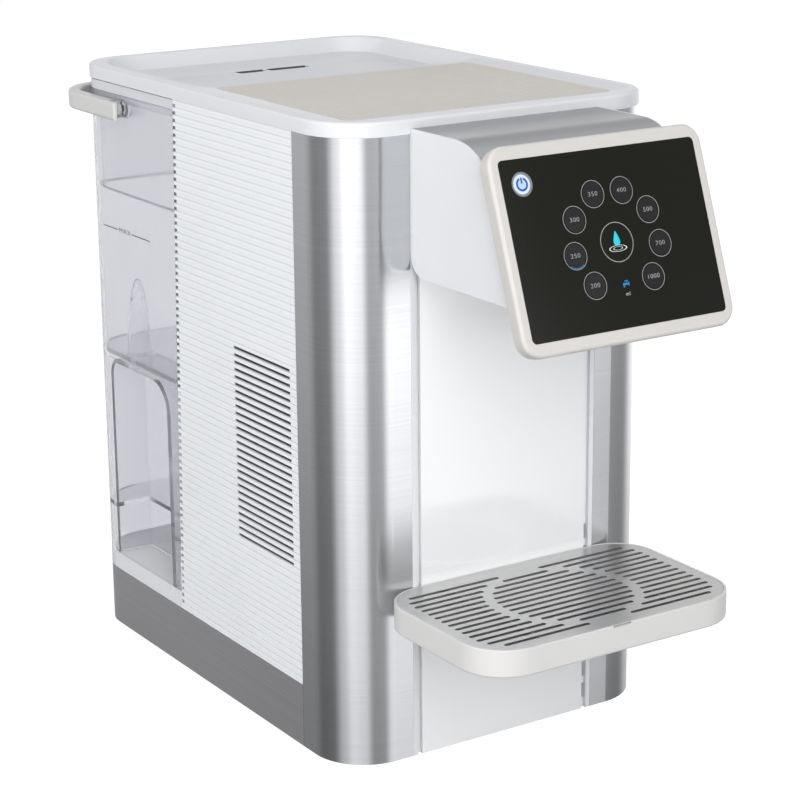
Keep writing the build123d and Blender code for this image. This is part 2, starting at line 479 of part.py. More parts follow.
# ---- head shell, steel cover and spout ----
HEAD_HX = COL_X - SEAM
T = radians(TILT)
BACK_GAP = 0.15


def head_outline(inset, front_off, y_rear):
    """Side profile of the head; front_off moves its sloping front along the display's normal."""
    off = DISP_T + BACK_GAP - front_off
    qy, qz = DISP_Y + off * cos(T), DISP_Z - off * sin(T)
    slope = sin(T) / cos(T)
    cy, cz, r = FRONT - 44.3, HEAD_TOP - 45.0, 45.0 - inset
    low = HEAD_LOW + inset
    rr = 13.0 - inset
    yb = FRONT - 0.15 - inset
    if front_off > 0:
        end = radians(50)
    else:
        uy, uz = sin(T), cos(T)
        b = (qy - cy) * uy + (qz - cz) * uz
        c = (qy - cy) ** 2 + (qz - cz) ** 2 - r * r
        t = -b + (b * b - c) ** 0.5
        end = atan2(cy - (qy + t * uy), qz + t * uz - cz)
    ay, az = cy - r * sin(end), cz + r * cos(end)
    my, mz = cy - r * sin(end / 2), cz + r * cos(end / 2)
    line = Line((y_rear, cz + r), (cy, cz + r)) + ThreePointArc((cy, cz + r), (my, mz), (ay, az))
    fy = qy + (az - qz) * slope
    if abs(fy - ay) > 0.001:
        line += Line((ay, az), (fy, az))
    line += Line((fy, az), (qy + (low - qz) * slope, low))
    line += Line((qy + (low - qz) * slope, low), (yb - rr, low))
    line += ThreePointArc((yb - rr, low), (yb - rr * 0.29289, low + rr * 0.29289), (yb, low + rr))
    if y_rear > yb + 0.001:
        line += Line((yb, low + rr), (y_rear, low + rr))
    line += Line((y_rear, low + rr), (y_rear, cz + r))
    return make_face(Plane.YZ * line)


def x_block(face, hx):
    return Pos(-hx, 0, 0) * extrude(face, 2 * hx, dir=(1, 0, 0))


head = x_block(head_outline(0, 0, FRONT - 0.15), HEAD_HX)
head -= x_block(head_outline(2.5, 6, FRONT + 5), HEAD_HX - 2.5)
COVER_HX = HEAD_HX - 1.3
COVER_LOW = BODY_TOP - 26.0
head -= x_block(head_outline(0, 6, FRONT - 0.15), COVER_HX + 0.1) - x_block(head_outline(0.9, 6, FRONT + 5), HX) \
    - box(-BIG, BIG, -BIG, BIG, 0, COVER_LOW)
head -= box(-BIG, BIG, FRONT - SLAB_OVER - 0.25, FRONT + BIG, BODY_TOP - SEAM - 0.3, BIG)
for sx in (-1, 1):
    for zz in (HEAD_LOW + 14.5, HEAD_LOW + 60.5):
        boss = box(HEAD_HX - 5.8, HEAD_HX - 1, FRONT - 8, FRONT - 0.3, zz - 3, zz + 3)
        head += boss if sx > 0 else mirrored(boss)
SP = (0, RING_Y)
head -= cyl(8.2, (*SP, HEAD_LOW - 7), (*SP, HEAD_LOW + 13))
parts["head_shell"] = head
cover = x_block(head_outline(0, 0, FRONT - 0.15), COVER_HX) - x_block(head_outline(0.8, 6, FRONT + 5), HX)
cover &= box(-BIG, BIG, -BIG, FRONT - SLAB_OVER - 0.3, COVER_LOW + 1, BIG)
parts["head_cover"] = cover

VALVE_LOW = HEAD_LOW + 18.5
PIPE_Z = HEAD_LOW + 27.5
spout = cyl(8.0, (*SP, HEAD_LOW - 0.3), (*SP, VALVE_LOW)) + cyl(12.0, (*SP, HEAD_LOW - 3.2), (*SP, HEAD_LOW - 0.2))
spout += Pos(*SP, HEAD_LOW - 10.5) * Cone(5.6, 8.4, 7.4, align=(Align.CENTER, Align.CENTER, Align.MIN))
spout -= cyl(3.2, (*SP, HEAD_LOW - 17), (*SP, VALVE_LOW + 4))
parts["spout"] = spout
nut = Pos(*SP, HEAD_LOW + 2.7) * extrude(RegularPolygon(13, 6), 5.0)
nut -= cyl(8.0 + RUN, (*SP, HEAD_LOW - 7), (*SP, VALVE_LOW + 4))
parts["spout_nut"] = nut
valve = cyl(11.0, (*SP, VALVE_LOW + 0.2), (*SP, PIPE_Z + 9)) \
    + box(-9, 9, RING_Y - 9, RING_Y + 9, PIPE_Z + 9, PIPE_Z + 27)
for x in (-6.0, 6.0):
    valve += cyl(3.6, (x, RING_Y + 4, PIPE_Z), (x, RING_Y + 22, PIPE_Z))
    valve -= cyl(2.4, (x, RING_Y + 2, PIPE_Z), (x, RING_Y + 23, PIPE_Z))
valve -= cyl(3.2, (*SP, VALVE_LOW - 6), (*SP, PIPE_Z - 1))
parts["spout_valve"] = valve

# ---- display: built flat, then set on its sloping plane ----
DISP = Plane(origin=(0, DISP_Y, DISP_Z), x_dir=(1, 0, 0), z_dir=(0, -cos(T), sin(T)))


def slab_at(w, h, r, z0, z1):
    return Pos(0, 0, z0) * extrude(RectangleRounded(w, h, r), z1 - z0)


def disc(r, x, y, z0, z1):
    return Pos(x, y, z0) * Cylinder(r, z1 - z0, align=(Align.CENTER, Align.CENTER, Align.MIN))


def placed(shape):
    return DISP.location * shape


bezel = slab_at(DISP_W, DISP_H, 12, -BEZEL_T, 0)
bezel = fillet(bezel.edges().group_by(Axis.Z)[-1], 2.2)
bezel -= slab_at(GLASS_W + 0.2, GLASS_H + 0.2, 3.1, -2.1, 1) + slab_at(GLASS_W - 7.8, GLASS_H - 8.4, 3, -6, 0)
parts["display_bezel"] = placed(bezel)
back = slab_at(DISP_W - 1.0, DISP_H - 1.0, 11.5, -DISP_T, -BEZEL_T - 0.1)
back = fillet(back.edges().group_by(Axis.Z)[0], 2.5)
back -= slab_at(DISP_W - 7, DISP_H - 7, 8.5, -DISP_T + 1.6, 0) + slab_at(44, 26, 4, -12, 0)
BOARD_Z = -8.9
for x in (-GLASS_W / 2 + 8.9, GLASS_W / 2 - 8.9):
    for v in (-GLASS_H / 2 + 9.2, GLASS_H / 2 - 9.2):
        back += disc(3.0, x, v, -DISP_T + 1.5, BOARD_Z - 0.1)
parts["display_back"] = placed(back)
glass = slab_at(GLASS_W, GLASS_H, 3, -1.9, -0.1) - disc(BTN_RING_R + 0.1, BTN_X, BTN_V, -3, 1)
parts["display_glass"] = placed(glass)
collar_ring = disc(BTN_RING_R, BTN_X, BTN_V, -5.0, 0.15) + disc(BTN_RING_R + 1.7, BTN_X, BTN_V, -3.4, -2.2)
collar_ring -= disc(BTN_R + 0.15, BTN_X, BTN_V, -6, 1)
parts["button_ring"] = placed(collar_ring)
button = fillet(disc(BTN_R, BTN_X, BTN_V, -4.6, 0).edges().group_by(Axis.Z)[-1], 0.4)
button += disc(BTN_R + 1.0, BTN_X, BTN_V, -5.8, -5.2) + disc(BTN_R - 1, BTN_X, BTN_V, -5.3, -4.5)
button += disc(2.0, BTN_X, BTN_V, -6.0, -5.7)
parts["power_button"] = placed(button)
board = slab_at(GLASS_W - 9.8, GLASS_H - 10.4, 2, BOARD_Z, -7.5)
for x, v, w, h, t in ((-20, 20, 14, 14, 1.4), (20, 22, 10, 6, 1.2), (40, -24, 8, 16, 1.6), (-40, -26, 18, 6, 1.4)):
    board += Pos(x, v, -7.6 + t / 2) * Box(w, h, t)
board += Pos(BTN_X, BTN_V, -7.25) * Box(6, 6, 0.7) + disc(1.8, BTN_X, BTN_V, -7.0, -6.85)
parts["display_board"] = placed(board)

# ---- drip tray and its steel grille ----
TRAY_REAR = FRONT - 0.3
tray = plan(TRAY_HX, TRAY_FRONT, TRAY_REAR, TRAY_R, TRAY_R - 2, TRAY_LOW, TRAY_TOP)
tray = fillet(tray.edges().group_by(Axis.Z)[0], 1.6)
tray = fillet(tray.edges().group_by(Axis.Z)[-1], 0.6)


def tray_inset(d, z0, z1):
    return plan(TRAY_HX - d, TRAY_FRONT + d, TRAY_REAR - d, TRAY_R - d, TRAY_R - 2 - d, z0, z1)


RIM = 1.7
tray -= tray_inset(4.4, TRAY_LOW + 2.2, 200) + tray_inset(RIM, TRAY_TOP - 1.7, 200)
tray -= box(-7.0, 7.0, TRAY_FRONT - 1, TRAY_FRONT + 3.0, TRAY_TOP - 1.4, 200)
for sx in (-1, 1):
    lug = box(*sorted((sx * (CH_IN + 0.5), sx * (CH_OUT - 0.5))), TRAY_REAR - 1.0, FRONT + CH_DEPTH - 0.4,
              TRAY_LOW + 3.0, TRAY_LOW + 15.0)
    tray += lug
parts["drip_tray"] = tray
grille = tray_inset(RIM + 0.25, TRAY_TOP - 1.6, TRAY_TOP - 0.2)
EDGE = 8.7
RING_OUT, RING_IN = 48.5, 42.5
cuts = Sketch()


def slot_between(xa, xb, y):
    if xb - xa < SLOT_W + 0.6:
        return None
    return Pos((xa + xb) / 2, y) * RectangleRounded(xb - xa, SLOT_W, SLOT_W / 2 - 0.01)


for i in range(14):
    dy = (i - 6.5) * SLOT_PITCH
    yy = RING_Y + dy
    rc, cy = TRAY_R - EDGE, TRAY_FRONT + TRAY_R
    far = cy - yy
    if yy > RING_Y:
        rc, cy = TRAY_R - 2 - EDGE, TRAY_REAR - TRAY_R + 2
        far = yy - cy
    end = TRAY_HX - EDGE
    if far > 0:
        end = TRAY_HX - EDGE - rc + (rc * rc - far * far) ** 0.5
    gap_out = (RING_OUT ** 2 - dy * dy) ** 0.5
    spans = [(-end, -gap_out), (gap_out, end)]
    if abs(dy) < RING_IN:
        half = (RING_IN ** 2 - dy * dy) ** 0.5
        spans.append((-half, half))
    for xa, xb in spans:
        sl = slot_between(xa, xb, yy)
        if sl is not None:
            cuts += sl
grille -= Pos(0, 0, TRAY_TOP - 3) * extrude(cuts, 5)
for x in (-50.0, 50.0):
    grille += box(x - 0.6, x + 0.6, TRAY_FRONT + 12, TRAY_REAR - 12, TRAY_TOP - 5.5, TRAY_TOP - 1.5)
parts["drip_grille"] = grille

# ---- equipment frame and the cooling group ----
SHELF = 136.0
FR_X, FR_Y0, FR_Y1 = HX - 8.2, FRONT + 22.7, TANK_EDGE_TOP - 34.0
SHEET = 1.5
frame = box(-FR_X, FR_X, FR_Y0, FR_Y1, SHELF - 0.1 - SHEET, SHELF - 0.1)
frame += box(-FR_X, FR_X, FR_Y0, FR_Y0 + SHEET, SHELF - 12, SHELF - 1)
frame += box(-FR_X, FR_X, FR_Y1 - SHEET, FR_Y1, SHELF - 12, SHELF - 1)
foot_z = PAN_FLOOR + 0.1
for y0, y1, ye in ((FR_Y0, FR_Y0 + 16, FR_Y0), (FR_Y1 - 16, FR_Y1, FR_Y1 - SHEET)):
    leg = box(FR_X - SHEET, FR_X, y0, y1, foot_z, SHELF - 1)
    leg += box(FR_X - 14.5, FR_X, ye, ye + SHEET, foot_z, SHELF - 1)
    leg += box(FR_X - 14.5, FR_X, y0, y1, foot_z, foot_z + SHEET)
    frame = frame + leg + mirrored(leg)
for x in (-FR_X / 2, 0.0, FR_X / 2):
    frame -= cyl(5.0, (x, FR_Y1 - 16, SHELF - 3), (x, FR_Y1 - 16, SHELF + 1))
PUMP_X, PUMP_Y, PUMP_Z = HX - 57.7, TANK_EDGE_TOP - 56.0, 32.0
FM_X, FM_Y = HX - 19.7, TANK_EDGE_TOP - 20.0
frame -= cyl(6.0, (FM_X, FR_Y1 - 4, PUMP_Z), (FM_X, FR_Y1 + 4, PUMP_Z))
parts["equipment_frame"] = frame
FAN_Y, FAN_Z = (VENT_Y0 + VENT_Y1) / 2, SHELF + 46.0
FAN_X0 = -HX + 8.7
FAN_X1 = FAN_X0 + 25.0
fan = box(FAN_X0, FAN_X1, FAN_Y - 46, FAN_Y + 46, FAN_Z - 46, FAN_Z + 46)
fan -= cyl(44.6, (FAN_X0 - 1, FAN_Y, FAN_Z), (FAN_X1 + 1, FAN_Y, FAN_Z))
fan += cyl(15.5, (FAN_X1 - 3.4, FAN_Y, FAN_Z), (FAN_X1, FAN_Y, FAN_Z))
for ang in (45, 135, 225, 315):
    fan += Pos(0, FAN_Y, FAN_Z) * Rot(ang, 0, 0) * box(FAN_X1 - 3.0, FAN_X1 - 0.6, -2.2, 2.2, 14, 46)
fan -= cyl(1.5 + RUN, (FAN_X1 - 5, FAN_Y, FAN_Z), (FAN_X1 - 0.8, FAN_Y, FAN_Z))
parts["fan_frame"] = fan
rotor = cyl(16.0, (FAN_X0 + 2, FAN_Y, FAN_Z), (FAN_X1 - 4.4, FAN_Y, FAN_Z))
rotor += cyl(1.5, (FAN_X1 - 5, FAN_Y, FAN_Z), (FAN_X1 - 1.0, FAN_Y, FAN_Z))
for k in range(7):
    blade = Pos(0, 0, 29.0) * Rot(0, 0, 40) * Box(19.0, 1.8, 28.0)
    rotor += Pos((FAN_X0 + FAN_X1) / 2 - 1.2, FAN_Y, FAN_Z) * Rot(360 / 7 * k, 0, 0) * blade
parts["fan_rotor"] = rotor
SINK_X = FAN_X1 + 32.0
sink = box(SINK_X - 4, SINK_X, FAN_Y - 45, FAN_Y + 45, SHELF, FAN_Z + 45)
for k in range(14):
    yy = FAN_Y - 44.4 + k * 6.83
    sink += box(FAN_X1 + 1, SINK_X - 3.5, yy - 0.6, yy + 0.6, FAN_Z - 45, FAN_Z + 45)
parts["heatsink"] = sink
COLD_X0 = SINK_X + 4.0
COLD_X1 = COLD_X0 + 66.0
parts["cooler_module"] = box(SINK_X + 0.1, COLD_X0 - 0.1, FAN_Y - 20, FAN_Y + 20, FAN_Z - 20, FAN_Z + 20)
COLD_TOP = SHELF + 90
COLD_IN, COLD_OUT = COLD_X0 + 20.0, COLD_X0 + 48.0
cold = fillet(box(COLD_X0, COLD_X1, FAN_Y - 32, FAN_Y + 32, SHELF, COLD_TOP).edges().filter_by(Axis.Z), 8)
cold -= box(COLD_X0 + 8, COLD_X1 - 8, FAN_Y - 24, FAN_Y + 24, SHELF + 8, COLD_TOP - 8)
for x in (COLD_IN, COLD_OUT):
    cold += cyl(6.0, (x, FAN_Y, COLD_TOP - 9), (x, FAN_Y, COLD_TOP + 3))
    cold += cyl(3.6, (x, FAN_Y, COLD_TOP + 2), (x, FAN_Y, COLD_TOP + 10))
    cold -= cyl(2.4, (x, FAN_Y, COLD_TOP - 10), (x, FAN_Y, COLD_TOP + 11))
parts["cold_tank"] = cold

# ---- heater, pump, flow meter and manifold ----
HT_X, HT_Y = HX - 45.7, FRONT + 78.7
HEAT_R, HEAT_TOP = 22.0, SHELF + 114
heater = cyl(HEAT_R, (HT_X, HT_Y, SHELF), (HT_X, HT_Y, HEAT_TOP))
heater = fillet(heater.edges().group_by(Axis.Z)[-1], 3)
heater -= cyl(HEAT_R - 2, (HT_X, HT_Y, SHELF + 3), (HT_X, HT_Y, HEAT_TOP - 4))
for x in (HT_X - 8, HT_X + 8):
    heater += cyl(3.6, (x, HT_Y, HEAT_TOP - 5), (x, HT_Y, HEAT_TOP + 8))
    heater -= cyl(2.4, (x, HT_Y, HEAT_TOP - 6), (x, HT_Y, HEAT_TOP + 9))
heater += box(HT_X - 26, HT_X + 26, HT_Y - 9, HT_Y + 9, SHELF, SHELF + 2)
parts["heater"] = heater
clamps = []
BAND_R = HEAT_R + 0.1
for zz in (SHELF + 34, SHELF + 84):
    c = cyl(BAND_R + 1.1, (HT_X, HT_Y, zz - 6), (HT_X, HT_Y, zz + 6))
    c += cyl(8.0, (HT_X, HT_Y - HEAT_R - 7, zz), (HT_X, HT_Y - HEAT_R - 0.6, zz))
    clamps.append(c - cyl(BAND_R, (HT_X, HT_Y, zz - 9), (HT_X, HT_Y, zz + 9)))
parts["heater_cutouts"] = solids_of(clamps)
PUMP_R = 14.0
pump = cyl(PUMP_R, (PUMP_X, PUMP_Y - 54, PUMP_Z), (PUMP_X, PUMP_Y - 10, PUMP_Z))
pump += cyl(17.0, (PUMP_X, PUMP_Y - 10.1, PUMP_Z), (PUMP_X, PUMP_Y + 10, PUMP_Z))
pump += cyl(3.6, (PUMP_X, PUMP_Y, PUMP_Z + 10), (PUMP_X, PUMP_Y, PUMP_Z + 24))
pump += cyl(3.6, (PUMP_X + 10, PUMP_Y, PUMP_Z), (PUMP_X + 24, PUMP_Y, PUMP_Z))
pump -= cyl(2.4, (PUMP_X, PUMP_Y, PUMP_Z), (PUMP_X, PUMP_Y, PUMP_Z + 25))
pump -= cyl(2.4, (PUMP_X, PUMP_Y, PUMP_Z), (PUMP_X + 25, PUMP_Y, PUMP_Z))
for x in (PUMP_X - 6, PUMP_X + 6):
    pump += cyl(2.4, (x, PUMP_Y - 58, PUMP_Z), (x, PUMP_Y - 53, PUMP_Z))
parts["pump"] = pump
cradle = box(PUMP_X - 20, PUMP_X + 20, PUMP_Y - 48, PUMP_Y - 14, PAN_FLOOR, PUMP_Z)
cradle -= cyl(PUMP_R + 0.1, (PUMP_X, PUMP_Y - 64, PUMP_Z), (PUMP_X, PUMP_Y - 4, PUMP_Z))
cradle -= box(PUMP_X - 30, PUMP_X + 30, PUMP_Y - 40, PUMP_Y - 22, PAN_FLOOR + 6, BIG)
parts["base_pan"] += cradle


def bulk_bracket(x, z):
    """Arm from a fitting at (x, FM_Y) back to the bulkhead."""
    foot = TANK_EDGE_TOP + 0.5
    arm = box(x - 5, x + 5, FM_Y, foot + 9.5, z - 1.5, z + 1.5) + box(x - 7, x + 7, foot, foot + 9.5, z - 8, z + 8)
    return arm - behind(-BULK_T - BULK_GAP)


meter = cyl(10.0, (FM_X, FM_Y, 150), (FM_X, FM_Y, 172)) + cyl(3.6, (FM_X, FM_Y, 142), (FM_X, FM_Y, 180))
meter += box(FM_X - 6, FM_X + 6, FM_Y - 14, FM_Y - 8, 152, 170) + bulk_bracket(FM_X, 161)
parts["flow_meter"] = meter - cyl(2.4, (FM_X, FM_Y, 140), (FM_X, FM_Y, 182))
tee = box(FM_X - 8, FM_X + 8, FM_Y - 8, FM_Y + 8, 204, 236) + bulk_bracket(FM_X, 220)
tee += cyl(3.6, (FM_X, FM_Y, 196), (FM_X, FM_Y, 244)) + cyl(3.6, (FM_X - 16, FM_Y, 220), (FM_X, FM_Y, 220))
tee -= cyl(2.4, (FM_X, FM_Y, 195), (FM_X, FM_Y, 245)) + cyl(2.4, (FM_X - 17, FM_Y, 220), (FM_X, FM_Y, 220))
parts["manifold"] = tee
HOSE = 4.4
BUTT = 0.1
lines = [
    [(VALVE_X, probe_y - 14 - BUTT, VALVE_Z), (VALVE_X, FM_Y - 8, VALVE_Z), (VALVE_X, FM_Y - 8, VALVE_Z - 22),
     (PUMP_X, PUMP_Y, VALVE_Z - 22), (PUMP_X, PUMP_Y, PUMP_Z + 24 + BUTT)],
    [(PUMP_X + 24 + BUTT, PUMP_Y, PUMP_Z), (FM_X, PUMP_Y, PUMP_Z), (FM_X, FM_Y, PUMP_Z), (FM_X, FM_Y, 142 - BUTT)],
    [(FM_X, FM_Y, 180 + BUTT), (FM_X, FM_Y, 196 - BUTT)],
    [(FM_X, FM_Y, 244 + BUTT), (FM_X, FM_Y, HEAT_TOP + 32), (HT_X + 8, HT_Y, HEAT_TOP + 32),
     (HT_X + 8, HT_Y, HEAT_TOP + 8 + BUTT)],
    [(COLD_IN, FAN_Y, COLD_TOP + 10 + BUTT), (COLD_IN, FAN_Y, COLD_TOP + 36), (COLD_IN, FM_Y, COLD_TOP + 36),
     (FM_X - 36, FM_Y, COLD_TOP + 36), (FM_X - 36, FM_Y, 220), (FM_X - 16 - BUTT, FM_Y, 220)],
    [(HT_X - 8, HT_Y, HEAT_TOP + 8 + BUTT), (HT_X - 8, HT_Y, PIPE_Z - 17), (30, FRONT + 28.7, PIPE_Z),
     (6, FRONT - 9.3, PIPE_Z), (6, RING_Y + 22 + BUTT, PIPE_Z)],
    [(COLD_OUT, FAN_Y, COLD_TOP + 10 + BUTT), (COLD_OUT, FAN_Y, PIPE_Z - 15), (-20, FRONT + 34.7, PIPE_Z),
     (-6, FRONT - 9.3, PIPE_Z), (-6, RING_Y + 22 + BUTT, PIPE_Z)],
]
hoses = []
for pts in lines:
    h = tube(pts, HOSE)
    hoses.append(h - tube(pts, 2.6))
parts["hoses"] = solids_of(hoses)

# ---- electronics and mains inlet ----
PS_X, PS_Y, PS_Z = -HX + 25.7, FRONT + 52.7, PAN_FLOOR + 10.0
psu = box(PS_X, PS_X + 84, PS_Y, PS_Y + 112, PS_Z, PS_Z + 1.6)
for dx in (6, 78):
    for dy in (14, 104):
        psu += cyl(3.0, (PS_X + dx, PS_Y + dy, PAN_FLOOR), (PS_X + dx, PS_Y + dy, PS_Z + 0.1))
blocks = ((26, 60, 36, 66, 26.5), (8, 18, 16, 100, 28.5), (34, 64, 78, 102, 18.5), (34, 52, 0, 8, 13.5),
          (72, 84, 84, 98, 9.5))
for dx0, dx1, dy0, dy1, h in blocks:
    psu += box(PS_X + dx0, PS_X + dx1, PS_Y + dy0, PS_Y + dy1, PS_Z + 1.5, PS_Z + 1.5 + h)
for dx, dy, r, h in ((30, 21, 9, 30), (68, 21, 7, 22), (70, 68, 6, 18)):
    psu += cyl(r, (PS_X + dx, PS_Y + dy, PS_Z + 1.5), (PS_X + dx, PS_Y + dy, PS_Z + 1.5 + h))
parts["power_supply"] = psu
CB_Y, CB_Z = FRONT + RAIL_D + 0.1, BODY_TOP - 176.0
CB_HX = CH_IN - 5.0
cb = box(-CB_HX, CB_HX, CB_Y, CB_Y + 1.6, CB_Z - 70, CB_Z + 70)
chips = ((-20, 25, 20, 20, 1.6), (24, 17, 14, 8, 2), (-30, -35, 24, 12, 9), (26, -45, 18, 24, 14),
         (-26, 60, 22, 8, 7), (-CB_HX + 8, -9, 12, 12, 9))
for x, dz, w, h, t in chips:
    zz = CB_Z + dz
    cb += box(x - w / 2, x + w / 2, CB_Y + 1.5, CB_Y + 1.6 + t, zz - h / 2, zz + h / 2)
parts["control_board"] = cb
inlet = box(INLET_X - INLET_W / 2 + 0.15, INLET_X + INLET_W / 2 - 0.15, REAR - 24, REAR - 0.3,
            INLET_Z - INLET_H / 2 + 0.15, INLET_Z + INLET_H / 2 - 0.15)
inlet += box(INLET_X - 17, INLET_X + 17, REAR - pan_t - 3.2, REAR - pan_t - 0.9, INLET_Z - 12, INLET_Z + 12)
inlet -= box(INLET_X - 11.7, INLET_X + 11.7, REAR - 16, REAR + 1, INLET_Z - 7.6, INLET_Z + 7.6)
for x, zz in ((INLET_X - 7, INLET_Z - 1.6), (INLET_X + 7, INLET_Z - 1.6), (INLET_X, INLET_Z + 2.4)):
    inlet += box(x - 1.0, x + 1.0, REAR - 17, REAR - 5, zz - 2.0, zz + 2.0)
for dx in (-9, 0, 9):
    inlet += box(INLET_X + dx - 0.4, INLET_X + dx + 0.4, REAR - 32, REAR - 23, INLET_Z - 3, INLET_Z + 3)
parts["mains_inlet"] = inlet
wires = [
    tube([(-26, CB_Y + 5, CB_Z + 64.2), (-26, CB_Y + 5, PIPE_Z + 10), (-26, RING_Y, PIPE_Z + 10),
          (-12, RING_Y - 28, PIPE_Z + 2)], 2.2, 7),
    tube([(PS_X + 43, PS_Y - 0.2, PS_Z + 9), (PS_X + 43, CB_Y + 6, PS_Z + 9),
          (PS_X + 43, CB_Y + 6, CB_Z - 15.2)], 2.6, 6),
    tube([(INLET_X, REAR - 32.2, INLET_Z), (INLET_X, REAR - 50, INLET_Z), (INLET_X, PS_Y + 186, PS_Z),
          (PS_X + 100.0, PS_Y + 170, PS_Z), (PS_X + 100.0, PS_Y + 91, PS_Z + 6), (PS_X + 84.2, PS_Y + 91, PS_Z + 6)], 2.8, 6),
]
parts["wiring"] = solids_of(wires)

for name, shape in parts.items():
    export_step(shape, "parts/" + name + ".step")
    print(name, len(shape.solids()), round(sum(s.volume for s in shape.solids()) / 1000, 1))
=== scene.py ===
import json
import math
import bpy
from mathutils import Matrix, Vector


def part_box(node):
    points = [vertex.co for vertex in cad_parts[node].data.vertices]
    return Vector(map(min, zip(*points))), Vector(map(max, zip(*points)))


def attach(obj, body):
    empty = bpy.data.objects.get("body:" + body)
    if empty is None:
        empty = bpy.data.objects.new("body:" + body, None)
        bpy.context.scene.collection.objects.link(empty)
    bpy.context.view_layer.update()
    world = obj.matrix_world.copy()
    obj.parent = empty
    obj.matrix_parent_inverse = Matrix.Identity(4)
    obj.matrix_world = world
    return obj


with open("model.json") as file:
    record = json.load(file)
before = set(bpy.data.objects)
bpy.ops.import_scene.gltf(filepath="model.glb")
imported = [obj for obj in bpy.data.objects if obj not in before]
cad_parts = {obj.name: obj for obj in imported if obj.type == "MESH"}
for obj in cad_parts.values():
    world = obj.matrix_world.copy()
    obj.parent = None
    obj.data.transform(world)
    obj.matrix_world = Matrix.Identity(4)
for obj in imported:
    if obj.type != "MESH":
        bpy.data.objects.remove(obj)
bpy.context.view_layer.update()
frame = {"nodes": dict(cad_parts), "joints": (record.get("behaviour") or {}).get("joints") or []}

# ---- Camera, floor and studio ----
# The dispenser stands on a plain white table in a white studio. Large soft lamps hang above and in front, and
# the walls of the studio are white and grey by turns, so that the brushed steel has something to show.
scene = bpy.context.scene
scene.view_settings.view_transform = "Standard"
camera_data = bpy.data.cameras.new("camera")
camera_data.sensor_width = 36.0
camera_data.lens = 105.85
camera_data.clip_end = 20.0
camera = bpy.data.objects.new("camera", camera_data)
camera.location = (-0.8054, -1.2435, 0.6201)
camera.rotation_euler = (1.28948, 0.0084026, -0.577394)
scene.collection.objects.link(camera)
scene.camera = camera


def feed(tree, value, socket):
    """Gives a socket a number or a colour, or links another socket to it."""
    if isinstance(value, (int, float, tuple)):
        socket.default_value = value
    else:
        tree.links.new(value, socket)


def maths(tree, operation, *values):
    """The result of a math node; each value is a number or a socket."""
    node = tree.nodes.new("ShaderNodeMath")
    node.operation = operation
    for value, socket in zip(values, node.inputs):
        feed(tree, value, socket)
    return node.outputs[0]


def mapped(tree, value, start, end, low=0.0, high=1.0):
    """Maps start to end onto low to high, held at both ends; low and high may be sockets."""
    node = tree.nodes.new("ShaderNodeMapRange")
    node.inputs["From Min"].default_value = start
    node.inputs["From Max"].default_value = end
    tree.links.new(value, node.inputs["Value"])
    feed(tree, low, node.inputs["To Min"])
    feed(tree, high, node.inputs["To Max"])
    return node.outputs["Result"]


def mixed(tree, a, b, factor=1.0, blend="MIX"):
    """Two colours mixed."""
    node = tree.nodes.new("ShaderNodeMix")
    node.data_type = "RGBA"
    node.blend_type = blend
    feed(tree, factor, node.inputs["Factor"])
    feed(tree, a, node.inputs["A"])
    feed(tree, b, node.inputs["B"])
    return node.outputs["Result"]


def shown(tree, where, off, on):
    """One shader where the mask is 0 and another where it is 1."""
    node = tree.nodes.new("ShaderNodeMixShader")
    for value, socket in zip((where, off, on), node.inputs):
        tree.links.new(value, socket)
    return node.outputs[0]


def ramp(tree, value, stops):
    """A colour ramp of greys; stops are (place, grey)."""
    node = tree.nodes.new("ShaderNodeValToRGB")
    node.color_ramp.interpolation = "EASE"
    elements = node.color_ramp.elements
    while len(elements) < len(stops):
        elements.new(0.5)
    for element, (place, grey) in zip(elements, stops):
        element.position = place
        element.color = (grey, grey, grey, 1)
    tree.links.new(value, node.inputs[0])
    return node.outputs["Color"]


studio = bpy.data.worlds.new("studio")
scene.world = studio
studio.use_nodes = True
tree = studio.node_tree
tree.nodes.clear()


def glow_of(colour, strength):
    """A plain light from all round; colour is a colour or a socket."""
    node = tree.nodes.new("ShaderNodeBackground")
    feed(tree, colour, node.inputs["Color"])
    node.inputs["Strength"].default_value = strength
    return node.outputs[0]


rays = tree.nodes.new("ShaderNodeLightPath")
# The walls, by compass point and by height: dark at the left rear, white at the left front, grey in front,
# white again in a narrow strip at the right front, and grey round to the back. They are brightest at eye
# level and darken towards the floor.
towards = tree.nodes.new("ShaderNodeTexCoord")
parted = tree.nodes.new("ShaderNodeSeparateXYZ")
tree.links.new(towards.outputs["Generated"], parted.inputs[0])
compass = maths(tree, "ARCTAN2", parted.outputs["X"], maths(tree, "MULTIPLY", parted.outputs["Y"], -1.0))
turn = mapped(tree, compass, -math.pi, math.pi)
degrees = [(-180, 0.26), (-147, 0.27), (-122, 0.15), (-96, 0.17), (-72, 0.62), (-55, 0.92), (-30, 0.8),
           (-13, 0.33), (8, 0.36), (26, 1.0), (34, 1.1), (38.5, 0.24), (75, 0.22), (110, 0.6), (150, 0.52),
           (180, 0.26)]
walls = ramp(tree, turn, [((d + 180) / 360, g) for d, g in degrees])
height = mapped(tree, parted.outputs["Z"], -1.0, 1.0)
fall = ramp(tree, height, [(0.0, 0.24), (0.295, 0.35), (0.42, 1.0), (0.56, 1.0), (0.67, 0.45), (1.0, 0.9)])
ambient = glow_of((0.95, 0.97, 1.0, 1.0), 0.5)
mirrored_walls = glow_of(mixed(tree, walls, fall, blend="MULTIPLY"), 2.55)
white = glow_of((1, 1, 1, 1), 1.0)
seen = maths(tree, "MAXIMUM", rays.outputs["Is Camera Ray"], rays.outputs["Is Transmission Ray"])
lit_studio = shown(tree, seen, shown(tree, rays.outputs["Is Glossy Ray"], ambient, mirrored_walls), white)
out = tree.nodes.new("ShaderNodeOutputWorld")
tree.links.new(lit_studio, out.inputs[0])

